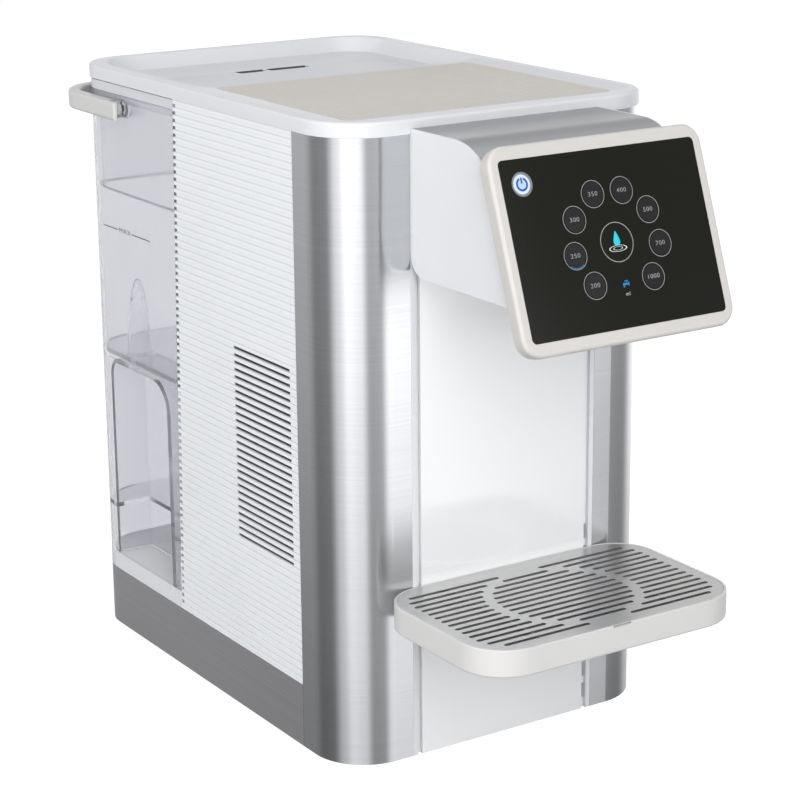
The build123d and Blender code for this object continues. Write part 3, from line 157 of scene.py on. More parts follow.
bpy.ops.mesh.primitive_plane_add(size=6.0, location=(0, 0.6, -0.0002))
table = bpy.context.active_object
table.name = "table"
table_white = bpy.data.materials.new("table_white")
table_white.use_nodes = True
tree = table_white.node_tree
shade = tree.nodes["Principled BSDF"]
shade.inputs["Base Color"].default_value = (0.4, 0.4, 0.4, 1)
shade.inputs["Roughness"].default_value = 0.7
plain = tree.nodes.new("ShaderNodeEmission")
plain.inputs["Strength"].default_value = 1.26
clear = tree.nodes.new("ShaderNodeBsdfTransparent")
rays = tree.nodes.new("ShaderNodeLightPath")
seen = maths(tree, "MAXIMUM", rays.outputs["Is Camera Ray"], rays.outputs["Is Transmission Ray"])
PLAIN_SHARE = 0.82              # the rest of the table's look is lit, and holds the shadow
surface = shown(tree, maths(tree, "MULTIPLY", seen, PLAIN_SHARE), shade.outputs[0], plain.outputs[0])
surface = shown(tree, rays.outputs["Is Glossy Ray"], surface, clear.outputs[0])
tree.links.new(surface, tree.nodes["Material Output"].inputs["Surface"])
table.data.materials.append(table_white)


def soft_lamp(name, where, aim, size, watts):
    """A soft lamp that hangs at one place and faces another."""
    lamp = bpy.data.lights.new(name, "AREA")
    lamp.shape = "RECTANGLE"
    lamp.size, lamp.size_y = size
    lamp.energy = watts
    holder = bpy.data.objects.new(name, lamp)
    holder.location = where
    d = [a - b for a, b in zip(aim, where)]
    flat = math.hypot(d[0], d[1])
    holder.rotation_euler = (math.atan2(flat, -d[2]), 0, math.atan2(d[1], d[0]) - math.pi / 2)
    holder.visible_glossy = False
    scene.collection.objects.link(holder)


soft_lamp("top_softbox", (-0.1, -0.1, 1.9), (0, 0, 0.2), (1.6, 1.6), 1.5)
soft_lamp("front_softbox", (-0.5, -2.0, 1.1), (0, 0, 0.25), (1.3, 1.5), 24)
soft_lamp("low_front_softbox", (-0.7, -1.7, 0.34), (0, -0.12, 0.3), (0.9, 0.5), 5.5)
soft_lamp("left_softbox", (-2.1, -0.2, 1.0), (0, 0, 0.2), (1.0, 1.4), 23)

# ---- Base pan, plinth band and columns ----
# The plinth band and the two front columns are 1.2 mm stainless steel, brushed round the body, so the lines
# run level. The pan behind them is moulded in grey, with rubber feet pressed in and zinc-plated screws.


def finish_of(name):
    """A new material; gives the material, its tree and its Principled shader."""
    material = bpy.data.materials.new(name)
    material.use_nodes = True
    return material, material.node_tree, material.node_tree.nodes["Principled BSDF"]


nodes = frame["nodes"]


def paint(material, *names):
    """Gives CAD nodes their finish."""
    for name in names:
        slots = nodes[name].material_slots
        for s in slots:
            s.link = "OBJECT"
            s.material = material


def new_group(name, inputs, outputs):
    """An empty node group with named sockets; inputs are (name, kind, value)."""
    group = bpy.data.node_groups.new(name, "ShaderNodeTree")
    for label, kind, value in inputs:
        socket = group.interface.new_socket(label, in_out="INPUT", socket_type=kind)
        socket.default_value = value
    for label, kind in outputs:
        group.interface.new_socket(label, in_out="OUTPUT", socket_type=kind)
    return group, group.nodes.new("NodeGroupInput"), group.nodes.new("NodeGroupOutput")


def noise(tree, vector, scale, detail=2.0):
    """Soft noise along a vector; the scale may be a socket."""
    node = tree.nodes.new("ShaderNodeTexNoise")
    node.inputs["Detail"].default_value = detail
    tree.links.new(vector, node.inputs["Vector"])
    feed(tree, scale, node.inputs["Scale"])
    return node.outputs["Fac"]


def on_piece(tree):
    """The place on the piece, in metres."""
    return tree.nodes.new("ShaderNodeTexCoord").outputs["Object"]


def spread(tree, value, low, high):
    """Maps 0.3 to 0.7, where a noise mostly lies, onto low to high; either may be a socket."""
    return mapped(tree, value, 0.3, 0.7, low, high)


def tinted(tree, colour, factor):
    """A colour times a grey that varies."""
    return mixed(tree, colour, factor, blend="MULTIPLY")


def varied(tree, value, given, less, more):
    """The given roughness, from less to more of itself."""
    rough = given.outputs["Roughness"]
    return spread(tree, value, maths(tree, "MULTIPLY", rough, less), maths(tree, "MULTIPLY", rough, more))


def bumped(tree, height, depth, distance):
    node = tree.nodes.new("ShaderNodeBump")
    node.inputs["Distance"].default_value = distance
    tree.links.new(height, node.inputs["Height"])
    tree.links.new(depth, node.inputs["Strength"])
    return node.outputs["Normal"]


# Brushed metal: fine lines along the grain, and gloss that drifts a little from place to place.
MM = 0.001
LINE_DEPTH = 0.02 * MM
brushed, given, result = new_group(
    "brushed_lines",
    [("Colour", "NodeSocketColor", (0.62, 0.62, 0.61, 1)), ("Grain", "NodeSocketVector", (6, 6, 2600)),
     ("Contrast", "NodeSocketFloat", 0.08), ("Roughness", "NodeSocketFloat", 0.26),
     ("Depth", "NodeSocketFloat", 0.25)],
    [("Colour", "NodeSocketColor"), ("Roughness", "NodeSocketFloat"), ("Normal", "NodeSocketVector")])
where = on_piece(brushed)
stretched = brushed.nodes.new("ShaderNodeVectorMath")
stretched.operation = "MULTIPLY"
brushed.links.new(where, stretched.inputs[0])
brushed.links.new(given.outputs["Grain"], stretched.inputs[1])
lines = noise(brushed, stretched.outputs[0], 1.0, 3.0)
patches = noise(brushed, where, 9.0)
tone = spread(brushed, lines, maths(brushed, "SUBTRACT", 1.0, given.outputs["Contrast"]), 1.0)
brushed.links.new(tinted(brushed, given.outputs["Colour"], tone), result.inputs["Colour"])
brushed.links.new(varied(brushed, patches, given, 0.9, 1.12), result.inputs["Roughness"])
brushed.links.new(bumped(brushed, lines, given.outputs["Depth"], LINE_DEPTH), result.inputs["Normal"])

# Moulded plastic: a fine spark-eroded grain, a faint drift of tone from the flow of the plastic, and gloss
# that changes a little where hands have been.
GRAIN_DEPTH = 0.03 * MM
moulded, given, result = new_group(
    "moulded_grain",
    [("Colour", "NodeSocketColor", (0.8, 0.8, 0.8, 1)), ("Drift", "NodeSocketFloat", 0.03),
     ("Grain", "NodeSocketFloat", 2200.0), ("Depth", "NodeSocketFloat", 0.12),
     ("Roughness", "NodeSocketFloat", 0.4)],
    [("Colour", "NodeSocketColor"), ("Roughness", "NodeSocketFloat"), ("Normal", "NodeSocketVector")])
where = on_piece(moulded)
patches = noise(moulded, where, 14.0)
grains = noise(moulded, where, given.outputs["Grain"], 1.0)
tone = spread(moulded, patches, maths(moulded, "SUBTRACT", 1.0, given.outputs["Drift"]), 1.0)
moulded.links.new(tinted(moulded, given.outputs["Colour"], tone), result.inputs["Colour"])
moulded.links.new(varied(moulded, patches, given, 0.88, 1.12), result.inputs["Roughness"])
moulded.links.new(bumped(moulded, grains, given.outputs["Depth"], GRAIN_DEPTH), result.inputs["Normal"])


def grouped_finish(name, group_tree, values):
    """A material that takes its colour, roughness and normal from a group with its own values."""
    material, tree, shader = finish_of(name)
    group = tree.nodes.new("ShaderNodeGroup")
    group.node_tree = group_tree
    for label, value in values.items():
        group.inputs[label].default_value = value
    tree.links.new(group.outputs["Colour"], shader.inputs["Base Color"])
    tree.links.new(group.outputs["Roughness"], shader.inputs["Roughness"])
    tree.links.new(group.outputs["Normal"], shader.inputs["Normal"])
    return material, tree, shader


def metal_finish(name, colour, grain, contrast, roughness, depth, anisotropy=0.0):
    """Brushed metal; the grain runs along the axis with the smallest number."""
    material, tree, shader = grouped_finish(name, brushed, {
        "Colour": (*colour, 1), "Grain": grain, "Contrast": contrast, "Roughness": roughness, "Depth": depth})
    shader.inputs["Metallic"].default_value = 1.0
    if anisotropy:
        shader.inputs["Anisotropic"].default_value = anisotropy
        shader.inputs["Anisotropic Rotation"].default_value = 0.25
        tangent = tree.nodes.new("ShaderNodeTangent")
        tangent.direction_type = "RADIAL"
        tangent.axis = "Z"
        tree.links.new(tangent.outputs[0], shader.inputs["Tangent"])
    return material


def plastic_finish(name, colour, roughness, grain=2200.0, depth=0.12, drift=0.03, coat=0.0):
    """Moulded plastic, rubber or lacquer; a coat is the polish over it."""
    material, tree, shader = grouped_finish(name, moulded, {
        "Colour": (*colour, 1), "Drift": drift, "Grain": grain, "Depth": depth, "Roughness": roughness})
    shader.inputs["Coat Weight"].default_value = coat
    shader.inputs["Coat Roughness"].default_value = 0.08
    return material


column_steel = metal_finish("column_steel", (0.62, 0.628, 0.65), (5, 5, 2400), 0.07, 0.22, 0.3, 0.75)
plinth_steel = metal_finish("plinth_steel", (0.64, 0.64, 0.67), (5, 5, 2400), 0.1, 0.34, 0.35, 0.6)
pan_plastic = plastic_finish("pan_plastic", (0.10, 0.105, 0.11), 0.5, 1600, 0.25)
foot_rubber = plastic_finish("foot_rubber", (0.02, 0.02, 0.021), 0.8, 900, 0.5, 0.15)
zinc_plate = metal_finish("zinc_plate", (0.58, 0.59, 0.6), (700, 700, 700), 0.2, 0.38, 0.4)
paint(column_steel, "column_left", "column_right")
paint(plinth_steel, "plinth_band")
paint(pan_plastic, "base_pan")
paint(foot_rubber, "rubber_feet", "probe_seal")
paint(zinc_plate, "base_screws", "flap_pins", "handle_pins", "spout_nut")

# ---- Side panels, sill, dock, bulkhead and water probe ----
# White moulded panels with level grooves and a block of air slots; the sill and the dock that the tank stands
# on are moulded too. The probe that opens the tank's valve is pressed into the bulkhead, with a rubber ring.


def unselect():
    if bpy.context.object and bpy.context.object.mode != "OBJECT":
        bpy.ops.object.mode_set(mode="OBJECT")
    bpy.ops.object.select_all(action="DESELECT")


def pick(test, kind="vertices"):
    """In edit mode, selects only the vertices or faces that the test accepts."""
    mesh = bpy.context.object.data
    bpy.ops.mesh.select_mode(type="FACE" if kind == "polygons" else "VERT")
    bpy.ops.mesh.select_all(action="DESELECT")
    bpy.ops.object.mode_set(mode="OBJECT")
    for item in getattr(mesh, kind):
        item.select = bool(test(item))
    bpy.ops.object.mode_set(mode="EDIT")


def use(kind, **settings):
    """Adds a modifier to the active piece and applies it."""
    modifier = bpy.context.object.modifiers.new(kind.lower(), kind)
    for label, value in settings.items():
        setattr(modifier, label, value)
    bpy.ops.object.modifier_apply(modifier=modifier.name)


def settle(piece, name, material, body):
    """Names the piece, gives it its finish and its body, and moves its place into its mesh."""
    unselect()
    piece.select_set(True)
    bpy.context.view_layer.objects.active = piece
    bpy.ops.object.transform_apply(location=True, rotation=True, scale=True)
    piece.name = name
    piece.data.name = name
    piece.data.materials.clear()
    piece.data.materials.append(material)
    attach(piece, body)
    return piece


def plate(width, length, corner=0.0, segments=4, x=0.0, y=0.0):
    """A flat plate, seen from above, with its corners rounded; corner is the radius."""
    unselect()
    bpy.ops.mesh.primitive_plane_add(size=1.0, location=(x, y, 0))
    piece = bpy.context.object
    piece.scale = (width, length, 1)
    bpy.ops.object.transform_apply(location=True, scale=True)
    if corner:
        bpy.ops.object.mode_set(mode="EDIT")
        bpy.ops.mesh.select_all(action="SELECT")
        bpy.ops.mesh.bevel(offset=corner, segments=segments, affect="VERTICES")
        bpy.ops.object.mode_set(mode="OBJECT")
    return piece


def stand_at_side(piece, side, out_by, y, z):
    """Stands a flat piece upright at the left or right side, facing outwards."""
    piece.rotation_euler = (math.pi / 2, 0, side * math.pi / 2)
    piece.location = (side * out_by, y, z)


SIDES = ((-1, "left"), (1, "right"))
head_white = plastic_finish("head_white", (0.74, 0.75, 0.765), 0.3, 2400, 0.07, 0.012)
white_satin = plastic_finish("white_satin", (0.83, 0.84, 0.86), 0.38, 2400, 0.1, 0.015)
# A thin line of painted shade lies along each step between a rib and a groove, stronger at the foot of the
# groove, and the insides of the air slots are painted dark as shade.
RIB_PITCH, FIRST_GROOVE = 4.77 * MM, 5.4 * MM
SLOT_PAINTED_SHADE, DARK_FROM, DARK_TO = 0.25, 0.7 * MM, 1.6 * MM      # the painted shade's tone in a slot, and its depth there
panel_low, panel_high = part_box("side_panel_right")
panel_outside = panel_high[0]
tree = white_satin.node_tree
parted = tree.nodes.new("ShaderNodeSeparateXYZ")
tree.links.new(on_piece(tree), parted.inputs[0])
first_groove = 0.5 - (panel_low[2] + FIRST_GROOVE) / RIB_PITCH
count = maths(tree, "MULTIPLY_ADD", parted.outputs["Z"], 1 / RIB_PITCH, first_groove)
# Painted shade along the steps between ribs and grooves.
painted_rib_shade = ramp(tree, maths(tree, "FRACT", count), [(0.19, 1.0), (0.26, 0.76), (0.30, 0.76), (0.37, 1.0),
                                                  (0.65, 1.0), (0.70, 0.87), (0.74, 0.87), (0.79, 1.0)])
across = maths(tree, "ABSOLUTE", parted.outputs["X"])
# Painted shade inside the air slots, darker with depth.
sunk = mapped(tree, across, panel_outside - DARK_TO, panel_outside - DARK_FROM, SLOT_PAINTED_SHADE)
grained = next(n for n in tree.nodes if n.bl_idname == "ShaderNodeGroup")
lined = tinted(tree, tinted(tree, grained.outputs["Colour"], painted_rib_shade), sunk)
tree.links.new(lined, tree.nodes["Principled BSDF"].inputs["Base Color"])
inner_white = plastic_finish("inner_white", (0.78, 0.80, 0.83), 0.5, 1800, 0.2, 0.03)
dock_grey = plastic_finish("dock_grey", (0.86, 0.865, 0.87), 0.45, 1800, 0.2)
probe_grey = plastic_finish("probe_grey", (0.16, 0.165, 0.17), 0.42, 1800, 0.15)
paint(white_satin, "side_panel_left", "side_panel_right")
paint(head_white, "tank_sill")
paint(inner_white, "bulkhead")

# A black sheet in a moulded frame stands behind the slots of each panel, clipped in; its black is painted
# shade for the dark inside seen through the slots.
SCREEN_Y, SCREEN_Z = (-62.5 * MM, 13.5 * MM), (115 * MM, 248 * MM)
SCREEN_GAP, SCREEN_T, SCREEN_CORNER = 0.3 * MM, 1.0 * MM, 5 * MM
FRAME_W, FRAME_STEP = 2.4 * MM, 0.5 * MM
PANEL_WALL = 2.6 * MM
screen_black = plastic_finish("screen_black", (0.035, 0.036, 0.038), 0.6, 2600, 0.6, 0.3)
# Painted shade: the black sheet behind the air slots.
for side, name in SIDES:
    screen = plate(SCREEN_Y[1] - SCREEN_Y[0], SCREEN_Z[1] - SCREEN_Z[0], SCREEN_CORNER)
    use("SOLIDIFY", thickness=SCREEN_T, offset=1.0)
    bpy.ops.object.mode_set(mode="EDIT")
    pick(lambda f: f.normal.z > 0.9, "polygons")
    bpy.ops.mesh.inset(thickness=FRAME_W, depth=-FRAME_STEP)
    bpy.ops.object.mode_set(mode="OBJECT")
    screen_out = panel_outside - PANEL_WALL - SCREEN_GAP - SCREEN_T
    stand_at_side(screen, side, screen_out, sum(SCREEN_Y) / 2, sum(SCREEN_Z) / 2)
    settle(screen, "vent_screen_" + name, screen_black, "body")

# A black strip stands just inside the rear edge of each panel, as painted shade: it shows dark in the notches
# between the ribs, where shade falls. The edge leans back, so the strip's top is moved to the front.
NOTCH_STRIP_W, NOTCH_STRIP_T, NOTCH_STRIP_Z0, NOTCH_STRIP_Z1 = 6.0 * MM, 0.8 * MM, 56 * MM, 389 * MM
NOTCH_STRIP_EDGE, NOTCH_STRIP_GAP, NOTCH_STRIP_BACK = 0.2 * MM, 0.02 * MM, 0.15 * MM
EDGE_TOP_Y, LEAN = 80 * MM, 11.6 / 336.5       # the panel's rear edge: its top, and its lean for each unit up
seal_black = plastic_finish("seal_black", (0.05, 0.05, 0.055), 0.75, 1400, 0.4, 0.15)
panel_top = panel_high[2] + 0.2 * MM
notch_strip_middle = (NOTCH_STRIP_Z0 + NOTCH_STRIP_Z1) / 2
notch_strip_y = EDGE_TOP_Y + LEAN * (panel_top - notch_strip_middle) - NOTCH_STRIP_W / 2 - NOTCH_STRIP_BACK
# Painted shade: a black strip in the notches between the ribs.
for side, name in SIDES:
    seal = plate(NOTCH_STRIP_W, NOTCH_STRIP_Z1 - NOTCH_STRIP_Z0)
    bpy.ops.object.mode_set(mode="EDIT")
    bpy.ops.mesh.select_all(action="SELECT")
    bpy.ops.mesh.subdivide(number_cuts=1)
    for top in (-1, 1):
        pick(lambda v: top * v.co.y > 1 * MM)
        shift = -top * side * LEAN * (NOTCH_STRIP_Z1 - NOTCH_STRIP_Z0) / 2
        bpy.ops.transform.translate(value=(shift, 0, 0))
    bpy.ops.object.mode_set(mode="OBJECT")
    use("SOLIDIFY", thickness=NOTCH_STRIP_T, offset=1.0)
    use("BEVEL", width=NOTCH_STRIP_EDGE, segments=2, limit_method="ANGLE")
    stand_at_side(seal, side, panel_outside - PANEL_WALL - NOTCH_STRIP_GAP - NOTCH_STRIP_T, notch_strip_y, notch_strip_middle)
    settle(seal, "panel_seal_" + name, seal_black, "body")
paint(dock_grey, "tank_dock")
paint(probe_grey, "dock_probe", "outlet_valve", "spout_valve")

# ---- Top slab, ribbed mat and refill flap ----
# One white moulded slab with a mat of taupe silicone laid in its front half. The flap in the rear recess is
# painted a little greyer, as painted shade of the recess, and two finger windows at its rear edge open on the
# tank's lid below.
slab_white = plastic_finish("slab_white", (0.70, 0.702, 0.72), 0.32, 2600, 0.08, 0.012)
# Painted shade: the flap is greyer than the slab around it.
flap_grey = plastic_finish("flap_grey", (0.66, 0.665, 0.69), 0.36, 2600, 0.08, 0.015)
mat_taupe = plastic_finish("mat_taupe", (0.70, 0.67, 0.63), 0.75, 1100, 0.6, 0.05)
paint(slab_white, "top_slab")
paint(flap_grey, "refill_flap")
paint(mat_taupe, "top_mat")

# ---- Tank ----
# The tank, its divider, collar and cone are moulded in clear plastic, polished outside. The lid is light grey
# and the filter cartridge white.


def clear_finish(name, colour, roughness, smear, clearness):
    """Clear plastic, a little rougher where fingers have been."""
    material, tree, shader = finish_of(name)
    shader.inputs["Base Color"].default_value = (*colour, 1)
    shader.inputs["Transmission Weight"].default_value = clearness
    shader.inputs["IOR"].default_value = 1.3
    patches = noise(tree, on_piece(tree), 22.0)
    tree.links.new(spread(tree, patches, roughness, roughness + smear), shader.inputs["Roughness"])
    return material


tank_clear = clear_finish("tank_clear", (0.865, 0.868, 0.90), 0.07, 0.05, 0.9)
cone_clear = clear_finish("cone_clear", (0.96, 0.965, 0.97), 0.02, 0.04, 1.0)
fitting_clear = clear_finish("fitting_clear", (0.88, 0.89, 0.90), 0.05, 0.05, 0.7)
lid_grey = plastic_finish("lid_grey", (0.64, 0.645, 0.665), 0.4, 2200, 0.12, 0.02)
cartridge_white = plastic_finish("cartridge_white", (0.80, 0.82, 0.84), 0.4, 1800, 0.15, 0.03)
paint(tank_clear, "tank_shell", "tank_divider")
paint(cone_clear, "overflow_cone", "valve_cage", "tank_collar")
paint(fitting_clear, "handle_hubs")
paint(lid_grey, "tank_lid")
paint(cartridge_white, "filter_cartridge")

# A bead runs round the collar's lower edge, inside the tank.
rim_low, rim_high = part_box("tank_collar")
RIM_R, RIM_CORNER, RIM_FRONT = 0.7 * MM, 12 * MM, 10 * MM
RIM_IN, RIM_UP = 1.5 * MM, 0.9 * MM            # in from the collar's walls, and up from its lower edge
rim_grey = clear_finish("rim_grey", (0.62, 0.625, 0.65), 0.15, 0.05, 0.45)
front_y, rear_y = rim_low[1] + RIM_FRONT, rim_high[1] - RIM_IN
rim_middle = (rear_y + front_y) / 2
rim = plate(rim_high[0] - rim_low[0] - 2 * RIM_IN, rear_y - front_y, y=rim_middle)
bpy.ops.object.mode_set(mode="EDIT")
pick(lambda v: v.co.y > rim_middle)
bpy.ops.mesh.bevel(offset=RIM_CORNER, segments=8, affect="VERTICES")
bpy.ops.mesh.select_all(action="SELECT")
bpy.ops.mesh.delete(type="ONLY_FACE")
bpy.ops.object.mode_set(mode="OBJECT")
bpy.ops.object.convert(target="CURVE")
rim.data.bevel_depth = RIM_R
rim.data.bevel_resolution = 3
bpy.ops.object.convert(target="MESH")
rim.location = (0, 0, rim_low[2] + RIM_UP)
settle(rim, "collar_rim", rim_grey, "tank")

# Below the flap's two finger windows the lid has dark rubber pads, and a dark strip stands on the slab behind
# each of them, as painted shade on the far wall of each window.
flap_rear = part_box("refill_flap")[1][1]
flap_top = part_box("refill_flap")[1][2]
WINDOWS = ((-28.0, -6.0), (-4.0, 28.0))
PAD_D, PAD_T, PAD_CORNER, PAD_EDGE = 5.6 * MM, 1.2 * MM, 1.6 * MM, 0.3 * MM
STRIP_T, STRIP_H, STRIP_EDGE = 0.9 * MM, 2.3 * MM, 0.25 * MM
PAD_SIDES, STRIP_SIDES = 1 * MM, 0.4 * MM      # by how much each is narrower than its window
PAD_IN, STRIP_BACK, STRIP_DOWN = 2.9 * MM, 0.36 * MM, 0.1 * MM
LID_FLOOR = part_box("tank_lid")[1][2] - 3.6 * MM
pad_rubber = plastic_finish("pad_rubber", (0.10, 0.10, 0.11), 0.7, 1200, 0.4, 0.1)
for (x0, x1), name in zip(WINDOWS, ("left", "right")):
    width, middle_x = (x1 - x0) * MM, (x0 + x1) / 2 * MM
    pad = plate(width - PAD_SIDES, PAD_D, PAD_CORNER, 5)
    use("SOLIDIFY", thickness=PAD_T, offset=1.0)
    use("BEVEL", width=PAD_EDGE, segments=2, limit_method="ANGLE")
    pad.location = (middle_x, flap_rear - PAD_IN, LID_FLOOR)
    settle(pad, "finger_pad_" + name, pad_rubber, "tank")
    # Painted shade: a dark strip on the far wall of the finger window.
    strip = plate(width - STRIP_SIDES, STRIP_H)
    use("SOLIDIFY", thickness=STRIP_T, offset=1.0)
    use("BEVEL", width=STRIP_EDGE, segments=2, limit_method="ANGLE")
    strip.rotation_euler = (math.pi / 2, 0, 0)
    strip.location = (middle_x, flap_rear + STRIP_BACK, flap_top - STRIP_H / 2 - STRIP_DOWN)
    settle(strip, "finger_strip_" + name, pad_rubber, "body")

# The level mark is raised on both sides of the tank: a line with a short hook at its front end, and MAX in a
# gap of the line.
tank_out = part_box("tank_shell")[1][0]
MARK_Y, MARK_Z, MARK_T, LINE_W = 155.7, 291.6 * MM, 0.14 * MM, 0.7 * MM
HOOKED_LINE, REAR_LINE = (121.0, 145.0), (166.5, 187.0)
MAX_H, MAX_WIDE, MARK_SUNK = 3.6 * MM, 1.5, 0.02 * MM
CAP_SHARE = 0.7                # a capital's height, as a share of the letters' size
LETTER_SPACE = 1.12
STROKE_IN = 0.018              # the strokes are thinned by this share of the height on each side
WELD = 0.005 * MM


def word_print(text, height, wide=1.0):
    """Flat printed letters; wide stretches them sideways."""
    unselect()
    bpy.ops.object.text_add()
    word = bpy.context.object
    word.data.body = text
    word.data.size = height / CAP_SHARE
    word.data.space_character = LETTER_SPACE
    word.data.offset = -STROKE_IN * height
    word.data.align_x = "CENTER"
    word.data.align_y = "CENTER"
    word.data.resolution_u = 3
    bpy.ops.object.convert(target="MESH")
    bpy.context.object.scale = (wide, 1, 1)
    bpy.ops.object.transform_apply(scale=True)
    bpy.ops.object.mode_set(mode="EDIT")
    bpy.ops.mesh.select_all(action="SELECT")
    bpy.ops.mesh.remove_doubles(threshold=WELD)
    bpy.ops.object.mode_set(mode="OBJECT")
    return bpy.context.object


def thicken(piece, thickness):
    unselect()
    piece.select_set(True)
    bpy.context.view_layer.objects.active = piece
    use("SOLIDIFY", thickness=thickness, offset=1.0)


def join(pieces):
    unselect()
    for piece in pieces:
        piece.select_set(True)
    bpy.context.view_layer.objects.active = pieces[0]
    bpy.ops.object.join()
    return bpy.context.object


mark_grey = plastic_finish("mark_grey", (0.12, 0.125, 0.14), 0.4)
for side, name in SIDES:
    rods = []
    for y0, y1 in (HOOKED_LINE, REAR_LINE):
        rod = plate((y1 - y0) * MM, LINE_W, x=side * ((y0 + y1) / 2 - MARK_Y) * MM)
        if y0 == HOOKED_LINE[0]:
            bpy.ops.object.mode_set(mode="EDIT")
            pick(lambda v: side * v.co.x < (y0 + 0.1 - MARK_Y) * MM)
            for along, down in ((1.1, 0.5), (0.3, 2.4)):
                bpy.ops.mesh.extrude_region_move(
                    TRANSFORM_OT_translate={"value": (-side * along * MM, -down * MM, 0)})
            bpy.ops.object.mode_set(mode="OBJECT")
        rods.append(rod)
    mark = join(rods + [word_print("MAX", MAX_H, MAX_WIDE)])
    bpy.ops.object.mode_set(mode="EDIT")
    pick(lambda f: f.normal.z < 0, "polygons")
    bpy.ops.mesh.flip_normals()
    bpy.ops.object.mode_set(mode="OBJECT")
    thicken(mark, MARK_T)
    stand_at_side(mark, side, tank_out - MARK_SUNK, MARK_Y * MM, MARK_Z)
    settle(mark, "level_mark_" + name, mark_grey, "tank")

# ---- Handle ----
# A bow of warm white plastic, 12 mm high, that swings on two pins at the top of the tank. A clear hub at the
# foot of each arm runs on its pin.
handle_white = plastic_finish("handle_white", (0.62, 0.61, 0.60), 0.36, 2400, 0.1, 0.02)
paint(handle_white, "tank_handle")

# ---- Front panel, tray channels, head and spout ----
# The front panel is polished white. Narrow satin channels at its sides hold the tray's lugs. The head's
# cheeks are satin white, and its top is covered with brushed steel, rolled over the front edge.
front_gloss = plastic_finish("front_gloss", (0.86, 0.863, 0.87), 0.12, 2600, 0.02, 0.01, 1.0)
front_gloss.node_tree.nodes["Principled BSDF"].inputs["Coat IOR"].default_value = 1.7
channel_white = plastic_finish("channel_white", (0.76, 0.77, 0.79), 0.3, 2400, 0.08, 0.015)
cover_steel = metal_finish("cover_steel", (0.37, 0.373, 0.39), (5, 2400, 2400), 0.07, 0.3, 0.3)
spout_chrome = metal_finish("spout_chrome", (0.72, 0.72, 0.73), (300, 300, 300), 0.03, 0.08, 0.02)
paint(front_gloss, "front_panel")
paint(channel_white, "channel_left", "channel_right")
paint(head_white, "head_shell")
paint(cover_steel, "head_cover")
paint(spout_chrome, "spout")

# ---- Display ----
# A warm white frame and back in two mouldings, and a black glass that carries its signs, lit from the back.
# The power button is a lit white disc in a bright ring.
bezel_white = plastic_finish("bezel_white", (0.60, 0.58, 0.555), 0.42, 2200, 0.12, 0.015)
glass_black = plastic_finish("glass_black", (0.0065, 0.0067, 0.0042), 0.07, 400, 0.0, 0.1)
ring_chrome = metal_finish("ring_chrome", (0.6, 0.61, 0.62), (300, 300, 300), 0.03, 0.14, 0.02)
paint(bezel_white, "display_bezel", "display_back")
paint(glass_black, "display_glass")
paint(ring_chrome, "button_ring")


push = next(j for j in frame["joints"] if j["name"] == "power_button")["axis"]
tilt = math.atan2(-push[2], push[1])
glass_low, glass_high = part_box("display_glass")
glass_middle = [(a + b) / 2 for a, b in zip(glass_low, glass_high)]
GLASS_HALF = 0.9 * MM          # from the middle of the glass to its face
PRINT_X = 1.0 * MM             # the prints stand this far right of the middle


def on_display(piece, x, up, lift):
    """Puts a flat piece on the display's plane, x to the right and up along the glass, in metres."""
    piece.rotation_euler = (math.pi / 2 - tilt, 0, 0)
    out_by = GLASS_HALF + lift
    piece.location = (glass_middle[0] + x + PRINT_X,
                      glass_middle[1] + up * math.sin(tilt) - out_by * math.cos(tilt),
                      glass_middle[2] + up * math.cos(tilt) + out_by * math.sin(tilt))


def lit_finish(name, colour, strength):
    """A print lit from behind, a little uneven as the light guide behind it is."""
    material, tree, shader = finish_of(name)
    uneven = spread(tree, noise(tree, on_piece(tree), 260.0), 0.86, 1.0)
    constant = tree.nodes.new("ShaderNodeRGB")
    constant.outputs[0].default_value = (*colour, 1)
    lit = tinted(tree, constant.outputs[0], uneven)
    tree.links.new(lit, shader.inputs["Base Color"])
    tree.links.new(lit, shader.inputs["Emission Color"])
    shader.inputs["Emission Strength"].default_value = strength
    shader.inputs["Roughness"].default_value = 0.4
    return material


lit_grey = lit_finish("lit_grey", (0.21, 0.215, 0.215), 0.5)
lit_white = lit_finish("lit_white", (0.50, 0.51, 0.52), 0.6)
lit_digits = lit_finish("lit_digits", (0.30, 0.31, 0.315), 0.55)
key_smoke = plastic_finish("key_smoke", (0.017, 0.017, 0.0165), 0.12, 400, 0.0, 0.15)
lit_cyan = lit_finish("lit_cyan", (0.01, 0.42, 0.48), 0.6)
lit_blue = lit_finish("lit_blue", (0.01, 0.13, 0.36), 0.6)
PRINT = 0.03 * MM


def ring_print(radius, width, keep=None):
    """A flat printed ring, or the part of it whose faces the test keeps."""
    unselect()
    bpy.ops.mesh.primitive_circle_add(vertices=64, radius=radius, fill_type="NGON")
    bpy.ops.object.mode_set(mode="EDIT")
    bpy.ops.mesh.select_all(action="SELECT")
    bpy.ops.mesh.inset(thickness=width)
    bpy.ops.mesh.delete(type="FACE")
    if keep:
        pick(lambda f: not keep(f.center), "polygons")
        bpy.ops.mesh.delete(type="FACE")
    bpy.ops.object.mode_set(mode="OBJECT")
    return bpy.context.object


def lay_print(piece, name, material, x, up, lift=0.0):
    """Thickens a flat piece and fixes it on the glass as a print."""
    thicken(piece, PRINT)
    on_display(piece, x, up, lift)
    settle(piece, name, material, "body")


